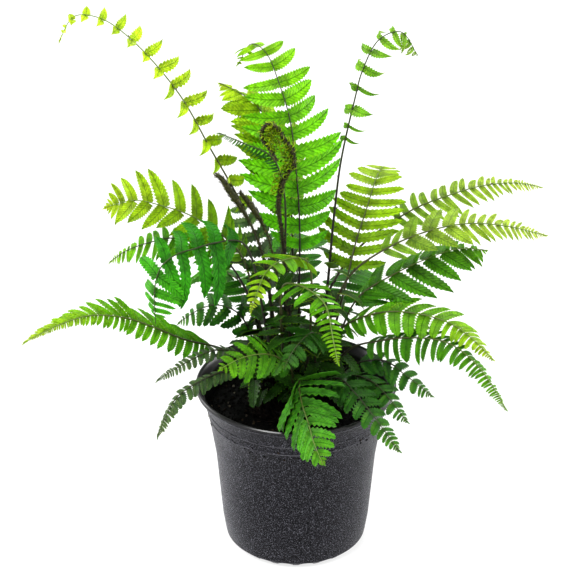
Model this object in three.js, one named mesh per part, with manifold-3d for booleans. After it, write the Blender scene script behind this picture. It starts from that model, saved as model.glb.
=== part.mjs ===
// A fern in a plastic nursery pot, in millimetres, +Z up.
// The origin is the centre of the flat underside of the pot. Its front faces -Y, with +X to the right.
// The plant is a short scaly crown in the soil. Every frond is one closed body: a stipe that stands in its
// own hole in the crown, a rachis, and two rows of leaflets cut to the rib.

import * as THREE from 'three';
import { mergeVertices } from 'three/addons/utils/BufferGeometryUtils.js';
import Module from 'manifold-3d';

const wasm = await Module();
wasm.setup();
const { Manifold, Mesh: SolidMesh } = wasm;

// ---------------------------------------------------------------- driving dimensions

const POT_HEIGHT = 115;
const LIP_RADIUS = 65;
const BASE_RADIUS = 42;
const FLOOR = 4.6;
const POT_SIDES = 40;
const SOIL_SIDES = 26;
const NOTCH_COUNT = 20;
const NOTCH_RADIUS = 3.8;
const NOTCH_LENGTH = 14;
const NOTCH_INSET = 1.6;      // how far a notch reaches in under the base corner

const GAP = 0.35;             // clearance between pieces that touch on the real plant
const LEAF_CLEARANCE = 0.45;  // clearance that leaflets are bent to keep
const SOIL_TOP = 97;
const SOIL_RELIEF = 1.6;
const SOIL_RINGS = [49, 42, 35, 24];
const CROWN_RADIUS = 28;
const CROWN_FOOT_RADIUS = 18;
const CROWN_FOOT = 86;
const CROWN_TOP = 109;
const CROWN_SIDES = 12;

const BLADE_THICKNESS = 0.8;
const RIB_HALF_WIDTH = 0.9;
const RIB_HALF_HEIGHT = 0.9;
const STIPE_RADIUS = 1.45;
const STIPE_TAPER = 0.4;
const STIPE_STEP = 22;
const HEXAGON = 0.87;         // half the width across the flats of a six-sided stem of radius 1
const SCALE_RADIUS = 1.1;
const SCALE_LENGTH = 5;
const SCALE_SIDES = 4;
const GOLDEN_ANGLE = 2.4;

// How leaflets change along the blade: pairs crowd towards the tip, and their length falls off from the
// widest place towards the foot of the blade and, further, towards its tip.
const CROWDING = 1.2;
const FOOT_LOSS = 0.45;
const TIP_LOSS = 0.93;
const BLUNT = 1.25;

// One leaflet's outline as shares of its length, and how far its shoulders stand apart as a share of the
// distance between two pairs. It leans forward and droops towards its tip.
const LEAN = 0.3;
const SHOULDER = { lower: 0.42, upper: 0.48, lean: 1 / 3, drop: 0.02 };
const TIP = { out: 0.97, drop: 0.14 };
const SHOULDER_SHARE = { crowded: 0.46, apart: 0.58 };

// Bends in degrees and shares of the full length that a leaflet tries until it is clear of the others.
const BENDS = [0, 10, -10, 20, -20, 32, -32, 45, -45, 60, -60];
const LENGTHS = [1, 0.85, 0.7, 0.55, 0.4, 0.25];

// ---------------------------------------------------------------- the fronds

// path: points of the rachis from inside the crown to the tip. heading: the compass angle that the frond
// arches towards, from +X. bare: the share of the path that is stipe. reach: the longest leaflet.
// widest: where along the blade it is. cover: the share of the rachis that the leaflets' roots take.
// fold: leaflets raised (+) or hanging (-). roll: turn about the rachis. lean, blunt and crowd: how far
// leaflets point forward, how late the blade narrows and how pairs crowd, where not as named above.
const FRONDS = [
  // the tall arching ones
  { name: 'frond_tall_left', colour: 'lime', heading: 180, bare: 0.42, pairs: 16, cover: 0.6, crowd: 1.3,
    reach: 17, widest: 0.35, blunt: 1.3, lean: 0.5, fold: 25, roll: -25, path: [[-9, 7, 100],
      [-15, 8, 160], [-22, 9, 204], [-35, 10, 238], [-53, 12, 273], [-72, 14, 309], [-100, 16, 343],
      [-118, 16, 356], [-133, 16, 357], [-143, 16, 341]] },
  { name: 'frond_tall_middle', colour: 'lime', heading: 105, bare: 0.38, pairs: 15, cover: 0.85,
    crowd: 1.1, reach: 36, widest: 0.3, blunt: 0.9, lean: 0.1, fold: -6, roll: 0, path: [[1, 8, 100],
      [2, 12, 175], [2, 18, 222], [0, 26, 250], [-4, 36, 282], [-10, 44, 301], [-19, 54, 320],
      [-28, 62, 323], [-37, 70, 306]] },
  { name: 'frond_tall_right', colour: 'lime', heading: 25, bare: 0.62, pairs: 12, cover: 0.5, crowd: 1.9,
    reach: 12, widest: 0.2, blunt: 2.5, lean: -0.9, fold: 0, roll: 30, path: [[8, 7, 100], [17, 12, 146],
      [24, 26, 221], [28, 31, 256], [36, 36, 295], [41, 38, 315], [51, 40, 334], [64, 42, 338],
      [75, 44, 322]] },
  { name: 'frond_tall_back', colour: 'lime', heading: 135, bare: 0.52, pairs: 12, cover: 1, reach: 30,
    widest: 0.35, lean: 0.7, fold: -10, roll: 0, path: [[-3, 14, 100], [-2, 30, 180], [-5, 38, 240],
      [-13, 48, 268], [-29, 60, 286], [-49, 72, 293]] },
  // the lower fronds, front first
  { name: 'frond_front_middle', colour: 'green', heading: 280, bare: 0.3, pairs: 10, cover: 1, reach: 29,
    widest: 0.12, lean: 0.6, fold: -12, roll: 25, path: [[1, -19, 100], [2, -32, 134], [2, -50, 136],
      [4, -62, 132], [7, -73, 128], [11, -85, 119], [16, -92, 110]] },
  { name: 'frond_front_pointing', colour: 'lime', heading: 285, bare: 0.6, pairs: 9, cover: 1, reach: 24,
    widest: 0.1, blunt: 0.5, lean: 0, fold: -10, roll: 0, path: [[-4, -12, 100], [-9, -24, 160],
      [-8, -36, 203], [-1, -46, 209], [9, -60, 211], [17, -72, 208], [21, -88, 195], [24, -96, 182]] },
  { name: 'frond_front_small', colour: 'lime', heading: 225, bare: 0.6, pairs: 8, cover: 1, reach: 19,
    widest: 0.15, lean: 0.1, fold: -5, roll: 0, path: [[4, -10, 100], [9, -16, 170], [6, -24, 214],
      [-10, -35, 219], [-19, -45, 216], [-24, -52, 206], [-28, -57, 196]] },
  { name: 'frond_front_left', colour: 'green', heading: 205, bare: 0.4, pairs: 8, cover: 1, reach: 17,
    widest: 0.5, fold: -12, roll: -30, path: [[-6, -19, 100], [-3, -30, 140], [-16, -42, 158],
      [-32, -52, 162], [-47, -60, 158]] },
  { name: 'frond_front_dark', colour: 'dark', heading: 240, bare: 0.5, pairs: 7, cover: 1, reach: 17,
    widest: 0.25, fold: -12, roll: 0, path: [[11, -11, 100], [12, -20, 145], [11, -27, 165],
      [6, -36, 168], [-2, -44, 162], [-8, -50, 152]] },
  { name: 'frond_front_right', colour: 'dark', heading: 310, bare: 0.3, pairs: 10, cover: 1, reach: 14,
    widest: 0.2, lean: 0.5, fold: -15, roll: 20, path: [[8, -17, 100], [18, -26, 130], [28, -36, 137],
      [36, -47, 134], [46, -60, 127], [55, -69, 118], [63, -76, 109]] },
  { name: 'frond_rim_right', colour: 'dark', heading: 322, bare: 0.4, pairs: 8, cover: 1, reach: 13,
    widest: 0.2, fold: -10, roll: 10, path: [[17, -12, 100], [30, -20, 130], [46, -30, 133],
      [57, -42, 128], [69, -53, 116]] },
  { name: 'frond_rim_far_right', colour: 'dark', heading: 345, bare: 0.42, pairs: 8, cover: 1, reach: 13,
    widest: 0.3, fold: -10, roll: 20, path: [[19, -6, 100], [34, -8, 130], [56, -14, 138], [68, -20, 132],
      [86, -28, 120]] },
  { name: 'frond_low_left', colour: 'green', heading: 190, bare: 0.34, pairs: 13, cover: 1, reach: 19,
    widest: 0.3, lean: 0.6, fold: -6, roll: -25, path: [[-19, -4, 100], [-30, -9, 132], [-48, -14, 147],
      [-70, -19, 156], [-89, -23, 167], [-107, -27, 176], [-128, -30, 179], [-147, -33, 174],
      [-169, -36, 163]] },
  { name: 'frond_rim_left', colour: 'dark', heading: 212, bare: 0.42, pairs: 8, cover: 1, reach: 8,
    widest: 0.3, fold: -15, roll: -20, path: [[-12, -16, 100], [-28, -24, 132], [-46, -34, 141],
      [-60, -40, 138], [-74, -47, 131], [-80, -50, 122], [-87, -54, 106]] },
  { name: 'frond_small_left', colour: 'dark', heading: 200, bare: 0.5, pairs: 7, cover: 1, reach: 6,
    widest: 0.3, fold: -10, roll: -20, path: [[-17, -10, 100], [-29, -18, 142], [-50, -27, 153],
      [-67, -34, 149], [-87, -39, 138]] },
  { name: 'frond_right_low', colour: 'green', heading: 345, bare: 0.36, pairs: 12, cover: 1, reach: 17,
    widest: 0.25, blunt: 0.8, fold: -20, roll: 25, path: [[12, -5, 100], [33, -11, 144], [53, -15, 153],
      [72, -22, 159], [91, -28, 160], [103, -32, 155], [114, -35, 145], [124, -38, 131],
      [132, -40, 117]] },
  { name: 'frond_right_bright', colour: 'green', heading: 348, bare: 0.36, pairs: 12, cover: 1, reach: 22,
    widest: 0.35, fold: -20, roll: 25, path: [[8, 0, 100], [26, -2, 152], [51, -8, 169], [75, -14, 172],
      [98, -22, 168], [115, -28, 156], [123, -31, 148]] },
  { name: 'frond_left_wide', colour: 'green', heading: 205, bare: 0.57, pairs: 9, cover: 1, reach: 36,
    widest: 0.2, lean: 0, fold: -10, roll: -35, path: [[-12, -8, 100], [-20, -9, 165], [-33, -12, 220],
      [-50, -22, 225], [-62, -30, 225], [-73, -36, 224], [-82, -41, 218], [-86, -45, 205],
      [-86, -48, 183]] },
  { name: 'frond_left_lime', colour: 'lime', heading: 172, bare: 0.5, pairs: 10, cover: 1, reach: 26,
    widest: 0.55, blunt: 2, lean: 0.65, fold: 0, roll: -35, path: [[-16, 4, 100], [-25, 3, 165],
      [-35, 3, 205], [-49, 4, 220], [-67, 6, 231], [-83, 8, 236], [-101, 10, 239], [-120, 12, 233]] },
  { name: 'frond_left_behind', colour: 'dark', heading: 172, bare: 0.5, pairs: 8, cover: 1, reach: 18,
    widest: 0.3, fold: -8, roll: -25, path: [[-19, 10, 100], [-30, 12, 170], [-52, 14, 203],
      [-77, 18, 209], [-93, 22, 204], [-109, 26, 196], [-120, 28, 187]] },
  { name: 'frond_left_small', colour: 'dark', heading: 175, bare: 0.42, pairs: 7, cover: 1, reach: 15,
    widest: 0.3, fold: -5, roll: -25, path: [[-22, 3, 100], [-27, 4, 140], [-37, 5, 162], [-51, 7, 167],
      [-63, 9, 162], [-76, 10, 152]] },
  { name: 'frond_right_upper_lime', colour: 'lime', heading: 70, bare: 0.42, pairs: 12, cover: 1,
    crowd: 0.9, reach: 27, widest: 0.15, blunt: 1.6, lean: 0.2, fold: 4, roll: 0, path: [[13, 13, 100],
      [24, 16, 141], [33, 24, 178], [39, 38, 198], [46, 56, 212], [52, 78, 221], [57, 100, 221],
      [61, 124, 212]] },
  { name: 'frond_right_far', colour: 'green', heading: 25, bare: 0.55, pairs: 9, cover: 1, reach: 18,
    widest: 0.3, blunt: 0.8, lean: 0.5, fold: -5, roll: 20, path: [[6, 13, 100], [17, 28, 155],
      [39, 46, 186], [75, 69, 204], [100, 78, 211], [125, 86, 215], [149, 92, 214], [165, 96, 209]] },
  { name: 'frond_right_lime', colour: 'lime', heading: 12, bare: 0.5, pairs: 10, cover: 1, reach: 21,
    widest: 0.3, blunt: 0.8, lean: 0.9, fold: -5, roll: 25, path: [[13, 4, 100], [21, 5, 155],
      [34, 7, 188], [52, 9, 203], [78, 14, 214], [106, 22, 217], [132, 28, 213], [161, 34, 203]] },
  { name: 'frond_right_deep', colour: 'dark', heading: 15, bare: 0.4, pairs: 9, cover: 1, reach: 30,
    widest: 0.35, lean: 0.8, fold: -15, roll: 15, path: [[19, 2, 100], [28, 6, 145], [40, 12, 170],
      [62, 18, 183], [84, 25, 191], [104, 33, 194], [124, 41, 189]] },
  { name: 'frond_thin_left', colour: 'dark', heading: 165, bare: 0.76, pairs: 7, cover: 1, reach: 6,
    widest: 0.3, fold: -25, roll: -10, path: [[-8, 13, 100], [-7, 13, 196], [-8, 11, 246], [-15, 10, 268],
      [-32, 13, 276], [-48, 18, 281]] },
  { name: 'frond_behind_left', colour: 'dark', heading: 125, bare: 0.5, pairs: 7, cover: 1, reach: 17,
    widest: 0.3, fold: -5, roll: 0, path: [[-14, 12, 100], [-17, 17, 165], [-22, 22, 197], [-30, 28, 216],
      [-40, 36, 232]] },
  // the side away from the photo
  { name: 'frond_back_right', colour: 'green', heading: 62, bare: 0.35, pairs: 8, cover: 1, reach: 22,
    widest: 0.3, fold: -12, roll: 0, path: [[12, 19, 100], [20, 36, 134], [30, 60, 150], [40, 84, 152],
      [49, 106, 142], [55, 122, 124]] },
  { name: 'frond_back_middle', colour: 'green', heading: 95, bare: 0.35, pairs: 8, cover: 1, reach: 24,
    widest: 0.3, fold: -12, roll: 0, path: [[2, 21, 100], [2, 40, 150], [0, 66, 172], [-3, 92, 176],
      [-7, 118, 166], [-10, 136, 148]] },
  { name: 'frond_back_left', colour: 'green', heading: 128, bare: 0.35, pairs: 8, cover: 1, reach: 22,
    widest: 0.3, fold: -12, roll: 0, path: [[-9, 20, 100], [-19, 34, 134], [-34, 54, 156], [-50, 74, 158],
      [-65, 93, 148], [-74, 105, 130]] },
];

// path: points of the stem and its hook. thick: the stem's radius in its scales. buds: how many young
// leaflets are still rolled up along the inside of the hook.
const CROZIERS = [
  { name: 'crozier_middle', thick: 2.7, buds: 8, scales: 6, turn: 1, path: [[-2, -3, 99], [-5, -6, 177],
    [-9, -9, 225], [-11, -10, 248], [-7, -10, 264], [-2, -10, 272], [-3, -10, 281], [-8, -10, 289],
    [-12, -10, 296], [-17, -9, 298], [-21, -8, 293], [-20, -7, 286], [-16, -6, 280], [-12, -6, 273]] },
  { name: 'crozier_left', thick: 2.6, buds: 3, scales: 4, turn: 1, path: [[-12, -1, 99], [-15, -2, 160],
    [-21, -3, 208], [-31, -3, 234], [-41, -4, 252], [-46, -4, 260], [-49, -5, 263]] },
  { name: 'crozier_small', thick: 1.7, buds: 2, scales: 3, turn: 1, path: [[-6, 2, 99], [-10, 2, 170],
    [-17, 2, 215], [-24, 2, 232], [-31, 2, 243], [-35, 2, 248]] },
];

// ---------------------------------------------------------------- solids and geometry

function solidOf(geometry) {
  const bare = geometry.clone();
  bare.deleteAttribute('normal');
  bare.deleteAttribute('uv');
  const merged = mergeVertices(bare, 1e-4);
  return new Manifold(new SolidMesh({
    numProp: 3,
    vertProperties: new Float32Array(merged.attributes.position.array),
    triVerts: new Uint32Array(merged.index.array),
  }));
}

function geometryOf(solid) {
  const mesh = solid.getMesh();
  const geometry = new THREE.BufferGeometry();
  geometry.setAttribute('position', new THREE.BufferAttribute(mesh.vertProperties, 3));
  geometry.setIndex(new THREE.BufferAttribute(mesh.triVerts, 1));
  return geometry;
}

// The one body that is left when a cut frees thin scraps.
function largest(solid) {
  return solid.decompose().sort((a, b) => b.volume() - a.volume())[0];
}

function indexed(points, triangles) {
  const geometry = new THREE.BufferGeometry();
  geometry.setAttribute('position', new THREE.Float32BufferAttribute(points.flatMap((p) => p.toArray()), 3));
  geometry.setIndex(triangles.flat());
  return geometry;
}

function reversed(triangles) {
  return triangles.map(([a, b, c]) => [c, b, a]);
}

function turned(profile, sides) {
  const points = profile.map(([r, z]) => new THREE.Vector2(r, z));
  return new THREE.LatheGeometry(points, sides).rotateX(Math.PI / 2);
}

function pathCurve(path) {
  return new THREE.CatmullRomCurve3(path.map((point) => new THREE.Vector3(...point)), false, 'centripetal');
}

// ---------------------------------------------------------------- pot, soil and crown

// Outer outline, [radius, height]: base corner, tapered body, two steps of the collar, rolled lip.
const OUTER_WALL = [[BASE_RADIUS, 0], [46.4, 4], [48.6, 18], [52.4, 64], [57, 92], [58.4, 93.5],
  [60.2, 100], [61.8, 109.5], [64.4, 111.5], [LIP_RADIUS, 113.4]];

// Inner outline from the lip down to the floor.
const INNER_WALL = [[62.6, POT_HEIGHT - 1.2], [60, 108], [50.8, 64], [47, 18], [43, FLOOR]];

function innerRadius(z) {
  const below = INNER_WALL.findIndex(([, height]) => height <= z);
  const [r0, z0] = INNER_WALL[below];
  const [r1, z1] = INNER_WALL[below - 1];
  return r0 + (r1 - r0) * (z - z0) / (z1 - z0);
}

function potSolid() {
  const shell = turned([[0, 0], ...OUTER_WALL, [64.2, POT_HEIGHT], ...INNER_WALL, [0, FLOOR]], POT_SIDES);
  const notches = [];
  for (let i = 0; i < NOTCH_COUNT; i++) {
    const notch = new THREE.CylinderGeometry(NOTCH_RADIUS, NOTCH_RADIUS, NOTCH_LENGTH, 6, 1);
    notch.rotateZ(Math.PI / 2).translate(BASE_RADIUS - NOTCH_INSET + NOTCH_LENGTH / 2, 0, 0);
    notch.rotateZ(2 * Math.PI * (i + 0.5) / NOTCH_COUNT);
    notches.push(solidOf(notch));
  }
  return solidOf(shell).subtract(Manifold.union(notches));
}

function crownGeometry(extra) {
  const side = CROWN_RADIUS + extra;
  const under = CROWN_FOOT - extra;
  const profile = [[0, under], [CROWN_FOOT_RADIUS, under], [side, CROWN_FOOT + 9],
    [side, CROWN_TOP - 7], [side - 3, CROWN_TOP - 2], [0, CROWN_TOP + extra]];
  return turned(profile, CROWN_SIDES);
}

function soilSolid() {
  const edge = innerRadius(SOIL_TOP) - 2 * GAP;
  const side = [18, 64].map((z) => [innerRadius(z) - 2 * GAP, z]);
  const top = [edge, ...SOIL_RINGS].map((r) => [r, SOIL_TOP]);
  const foot = [INNER_WALL.at(-1)[0] - 2 * GAP, FLOOR + GAP];
  const geometry = turned([[0, FLOOR + GAP], foot, ...side, ...top, [0, SOIL_TOP]], SOIL_SIDES);
  const position = geometry.attributes.position;
  for (let i = 0; i < position.count; i++) {
    const x = position.getX(i);
    const y = position.getY(i);
    const lump = Math.sin(x * 0.31 + 1.3) * Math.cos(y * 0.27) + 0.6 * Math.sin((x + y) * 0.19);
    if (position.getZ(i) > SOIL_TOP - 1 && Math.hypot(x, y) < edge - 1) {
      position.setZ(i, SOIL_TOP + SOIL_RELIEF * lump);
    }
  }
  return solidOf(geometry).subtract(solidOf(crownGeometry(GAP)));
}

// ---------------------------------------------------------------- stems

const SECTION = [90, 30, -30, -90, -150, 150].map((degrees) => THREE.MathUtils.degToRad(degrees));

function frameAt(curve, share, heading, roll) {
  const centre = curve.getPointAt(share);
  const along = curve.getTangentAt(share);
  const turn = THREE.MathUtils.degToRad(heading);
  const side = new THREE.Vector3(-Math.sin(turn), Math.cos(turn), 0);
  side.addScaledVector(along, -side.dot(along)).normalize();
  side.applyAxisAngle(along, THREE.MathUtils.degToRad(roll));
  const up = new THREE.Vector3().crossVectors(along, side);
  return { centre, along, side, up };
}

function ring(frame, halfWidth, halfHeight) {
  return SECTION.map((angle) => {
    const onSide = Math.abs(Math.cos(angle)) > 0.1;
    const across = onSide ? Math.sign(Math.cos(angle)) * halfWidth : 0;
    const up = onSide ? Math.sign(Math.sin(angle)) * Math.min(halfHeight, halfWidth) / 2
      : Math.sign(Math.sin(angle)) * halfHeight;
    return frame.centre.clone().addScaledVector(frame.side, across).addScaledVector(frame.up, up);
  });
}

function bladeRing(frame) {
  const points = ring(frame, RIB_HALF_WIDTH, RIB_HALF_HEIGHT);
  const edge = BLADE_THICKNESS / 2;
  [[1, 1, 1], [2, 1, -1], [4, -1, -1], [5, -1, 1]].forEach(([corner, across, up]) => {
    points[corner] = frame.centre.clone().addScaledVector(frame.side, across * RIB_HALF_WIDTH)
      .addScaledVector(frame.up, up * edge);
  });
  return points;
}

function skin(rings, skipped = () => false) {
  const points = rings.flat();
  const sides = SECTION.length;
  const triangles = [];
  for (let i = 0; i < rings.length - 1; i++) {
    for (let j = 0; j < sides; j++) {
      const a = i * sides + j;
      const b = i * sides + (j + 1) % sides;
      if (skipped(i, j)) continue;
      triangles.push([a, b + sides, b], [a, a + sides, b + sides]);
    }
  }
  const last = (rings.length - 1) * sides;
  for (let j = 1; j < sides - 1; j++) {
    triangles.push([0, j, j + 1], [last, last + j + 1, last + j]);
  }
  return { points, triangles };
}

function skinSolid(rings) {
  const { points, triangles } = skin(rings);
  return solidOf(indexed(points, triangles));
}

// The plain hole for a stem in the crown: its first stretch, a clearance wider and deeper.
function socketSolid(rings) {
  const [foot, next] = rings;
  const middle = (points) => points.reduce((sum, p) => sum.add(p), new THREE.Vector3())
    .divideScalar(points.length);
  const along = middle(next).sub(middle(foot)).normalize();
  return skinSolid([foot.map((point) => point.clone().addScaledVector(along, -GAP)), next]);
}

function stipeShares(frond) {
  const steps = Math.max(4, Math.round(frond.length * frond.bare / STIPE_STEP));
  return Array.from({ length: steps }, (_, i) => frond.bare * i / steps);
}

function bladeShares(frond) {
  const crowd = frond.crowd ?? CROWDING;
  const shareOf = (pair) => frond.bare + (1 - frond.bare) * (1 - (1 - pair / frond.pairs) ** crowd);
  const shares = [];
  for (let i = 0; i < frond.pairs; i++) {
    shares.push(shareOf(i));
    if (frond.cover < 1) shares.push(shareOf(i + frond.cover));
  }
  return [...shares, 1];
}

function stemRings(frond, extra = 0) {
  return stipeShares(frond).map((share) => {
    const radius = STIPE_RADIUS - STIPE_TAPER * share / frond.bare + extra;
    return ring(frameAt(frond.curve, share, frond.heading, frond.roll), radius * HEXAGON, radius);
  });
}

// ---------------------------------------------------------------- leaflets

function leafletLength(frond, along) {
  const before = (frond.widest - along) / frond.widest;
  const after = (along - frond.widest) / (1 - frond.widest);
  const blunt = frond.blunt ?? BLUNT;
  const loss = along < frond.widest ? FOOT_LOSS * before ** 2 : TIP_LOSS * after ** blunt;
  return frond.reach * (1 - loss);
}

// The upper outline of one leaflet: lower shoulder, tip, upper shoulder.
function leafletOutline(frond, i, across, fold, shorter) {
  const near = frond.frames[i * frond.stride];
  const far = frond.frames[i * frond.stride + 1];
  const root = near.centre.clone().lerp(far.centre, 0.5);
  const along = far.centre.clone().sub(near.centre);
  const pitch = along.length();
  along.normalize();
  const length = leafletLength(frond, (i + 0.5) / frond.pairs) * shorter;
  const angle = THREE.MathUtils.degToRad(fold);
  const outward = near.side.clone().multiplyScalar(across * Math.cos(angle))
    .addScaledVector(near.up, Math.sin(angle));
  const raise = near.up.clone().multiplyScalar(Math.cos(angle))
    .addScaledVector(near.side, -across * Math.sin(angle));
  const lift = raise.clone().multiplyScalar(BLADE_THICKNESS / 2);
  const place = (out, forward, drop) => root.clone().add(lift)
    .addScaledVector(outward, RIB_HALF_WIDTH + out * length)
    .addScaledVector(along, forward)
    .addScaledVector(raise, -drop * length);
  const half = pitch * (frond.cover < 1 ? SHOULDER_SHARE.apart : SHOULDER_SHARE.crowded);
  const lean = (frond.lean ?? LEAN) * length;
  const top = [
    place(SHOULDER.lower, SHOULDER.lean * lean - half, SHOULDER.drop),
    place(TIP.out, lean, TIP.drop),
    place(SHOULDER.upper, SHOULDER.lean * lean + half, SHOULDER.drop),
  ];
  const bottom = top.map((point) => point.clone().addScaledVector(raise, -BLADE_THICKNESS));
  return { top, bottom };
}

const TOP_FAN = [[0, 1, 4], [1, 3, 4], [1, 2, 3]];

// A leaflet alone, closed at the rib, for finding what it would touch.
function leafletSolid(frond, i, across, outline) {
  const rings = frond.rings;
  const first = frond.bladeStart + i * frond.stride;
  const [upper, lower] = across > 0 ? [1, 2] : [5, 4];
  const top = [rings[first][upper], ...outline.top, rings[first + 1][upper]];
  const bottom = [rings[first][lower], ...outline.bottom, rings[first + 1][lower]];
  const triangles = [];
  TOP_FAN.forEach(([a, b, c]) => triangles.push([a, b, c], [c + 5, b + 5, a + 5]));
  for (let k = 0; k < 5; k++) {
    const next = (k + 1) % 5;
    triangles.push([k, k + 5, next + 5], [k, next + 5, next]);
  }
  return solidOf(indexed([...top, ...bottom], across > 0 ? reversed(triangles) : triangles));
}

function frondGeometry(frond) {
  const { rings, leaflets, bladeStart, stride } = frond;
  const hasLeaflet = (i, side) => {
    const pair = (i - bladeStart) / stride;
    return pair >= 0 && Number.isInteger(pair) && leaflets[pair][side] !== null;
  };
  const { points, triangles } = skin(rings, (i, j) =>
    (j === 1 && hasLeaflet(i, 'right')) || (j === 4 && hasLeaflet(i, 'left')));
  const sides = SECTION.length;
  leaflets.forEach((pair, i) => {
    ['right', 'left'].forEach((name) => {
      const outline = pair[name];
      if (outline === null) return;
      const [upper, lower] = name === 'right' ? [1, 2] : [5, 4];
      const base = (bladeStart + i * stride) * sides;
      const start = points.length;
      points.push(...outline.top, ...outline.bottom);
      const top = [base + upper, start, start + 1, start + 2, base + sides + upper];
      const bottom = [base + lower, start + 3, start + 4, start + 5, base + sides + lower];
      const faces = [];
      TOP_FAN.forEach(([a, b, c]) => {
        faces.push([top[a], top[b], top[c]], [bottom[c], bottom[b], bottom[a]]);
      });
      for (let k = 0; k < 4; k++) {
        faces.push([top[k], bottom[k], bottom[k + 1]], [top[k], bottom[k + 1], top[k + 1]]);
      }
      triangles.push(...(name === 'right' ? reversed(faces) : faces));
    });
  });
  return indexed(points, triangles);
}

// ---------------------------------------------------------------- croziers

const STEM_STEPS = 6;
const HOOK_STEPS = 12;
const HOOK_START = 0.68;
const HOOK_TAPER = 0.45;
const BUD_START = 0.71;
const BUD_END = 0.98;
const BUD_TAPER = 0.3;
const SCALE_START = 0.3;
const SCALE_END = 0.9;

function crozierRings(crozier, extra = 0) {
  const curve = pathCurve(crozier.path);
  const hook = 1 - HOOK_START;
  const stemShares = Array.from({ length: STEM_STEPS }, (_, i) => HOOK_START * i / STEM_STEPS);
  const hookShares = Array.from({ length: HOOK_STEPS + 1 }, (_, i) => HOOK_START + hook * i / HOOK_STEPS);
  return [...stemShares, ...hookShares].map((share) => {
    const rolled = Math.max(0, share - HOOK_START) / hook;
    const radius = crozier.thick * (1 - HOOK_TAPER * rolled) + extra;
    return ring(frameAt(curve, share, 0, 0), radius * HEXAGON, radius);
  });
}

// The rolled-up leaflets sit along the inside of the hook, and pointed scales all round the stem.
function crozierSolid(crozier) {
  const curve = pathCurve(crozier.path);
  const parts = [skinSolid(crozierRings(crozier))];
  for (let i = 0; i < crozier.buds; i++) {
    const order = i / crozier.buds;
    const frame = frameAt(curve, BUD_START + (BUD_END - BUD_START) * order, 0, 0);
    const size = crozier.thick * (1.1 - BUD_TAPER * order);
    const bud = new THREE.OctahedronGeometry(size, 0);
    const across = (i % 2 === 0 ? 0.45 : -0.45) * size;
    const place = frame.centre.clone().addScaledVector(frame.up, crozier.turn * crozier.thick * 0.9)
      .addScaledVector(frame.side, across);
    parts.push(solidOf(bud.translate(...place.toArray())));
  }
  for (let i = 0; i < crozier.scales; i++) {
    const share = SCALE_START + (SCALE_END - SCALE_START) * i / crozier.scales;
    const frame = frameAt(curve, share, 0, 0);
    const angle = i * GOLDEN_ANGLE;
    const outward = frame.side.clone().multiplyScalar(Math.cos(angle))
      .addScaledVector(frame.up, Math.sin(angle));
    const lean = outward.clone().add(frame.along).normalize();
    const scale = new THREE.ConeGeometry(SCALE_RADIUS, SCALE_LENGTH, SCALE_SIDES);
    scale.translate(0, SCALE_LENGTH / 2, 0);
    scale.applyQuaternion(new THREE.Quaternion().setFromUnitVectors(new THREE.Vector3(0, 1, 0), lean));
    const root = frame.centre.clone().addScaledVector(outward, crozier.thick * 0.3);
    parts.push(solidOf(scale.translate(...root.toArray())));
  }
  return Manifold.union(parts);
}

// ---------------------------------------------------------------- putting the plant together

function prepare(frond) {
  frond.curve = pathCurve(frond.path);
  frond.length = frond.curve.getLength();
  frond.frames = bladeShares(frond).map((share) => frameAt(frond.curve, share, frond.heading, frond.roll));
  const stemPart = stemRings(frond);
  frond.bladeStart = stemPart.length;
  frond.stride = frond.cover < 1 ? 2 : 1;
  frond.rings = [...stemPart, ...frond.frames.map(bladeRing)];
  frond.stem = skinSolid(frond.rings);
}

// Whether a boxed solid comes within the clearance of one of the others.
function touching({ solid, box }, others) {
  return others.some((other) => {
    const near = [0, 1, 2].every((axis) => box.min[axis] - LEAF_CLEARANCE < other.box.max[axis]
      && box.max[axis] + LEAF_CLEARANCE > other.box.min[axis]);
    return near && solid.minGap(other.solid, LEAF_CLEARANCE) < LEAF_CLEARANCE;
  });
}

function boxed(solid) {
  return { solid, box: solid.boundingBox() };
}

function growLeaflets(frond, obstacles) {
  const own = { right: [], left: [] };
  frond.leaflets = [];
  for (let i = 0; i < frond.pairs; i++) {
    const pair = {};
    [['right', 1], ['left', -1]].forEach(([name, across]) => {
      const earlier = [...own.right, ...own.left].filter((leaf) => leaf.index < i - 1);
      pair[name] = null;
      for (const shorter of LENGTHS) {
        for (const bend of BENDS) {
          if (pair[name] !== null) break;
          const outline = leafletOutline(frond, i, across, frond.fold + bend, shorter);
          const leaf = boxed(leafletSolid(frond, i, across, outline));
          if (touching(leaf, obstacles) || touching(leaf, earlier)) continue;
          pair[name] = outline;
          own[name].push({ ...leaf, index: i });
        }
      }
    });
    frond.leaflets.push(pair);
  }
  return [...own.right, ...own.left];
}

const COLOURS = { lime: '#8cc21e', green: '#3f9a22', dark: '#2c5f2b' };

function piece(name, geometry, colour, roughness) {
  const material = new THREE.MeshStandardMaterial({ color: colour, roughness, metalness: 0 });
  const mesh = new THREE.Mesh(geometry, material);
  mesh.name = name;
  return mesh;
}

const fern = new THREE.Group();
const pot = potSolid();
const soil = soilSolid();
FRONDS.forEach(prepare);
const croziers = CROZIERS.map(crozierSolid);
const sockets = [
  ...FRONDS.map((frond) => socketSolid(stemRings(frond, GAP))),
  ...CROZIERS.map((crozier) => socketSolid(crozierRings(crozier, GAP))),
];
const crown = largest(solidOf(crownGeometry(0)).subtract(Manifold.union(sockets)));

const potBoxes = [pot, soil, crown].map(boxed);
const crozierBoxes = croziers.map(boxed);
const stems = FRONDS.map((frond) => boxed(frond.stem));
stems.forEach((stem, i) => {
  if (touching(stem, [...crozierBoxes, ...stems.slice(0, i)])) {
    throw new Error(`${FRONDS[i].name}: its stem crosses another, so its path needs another root or bend`);
  }
});

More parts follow.
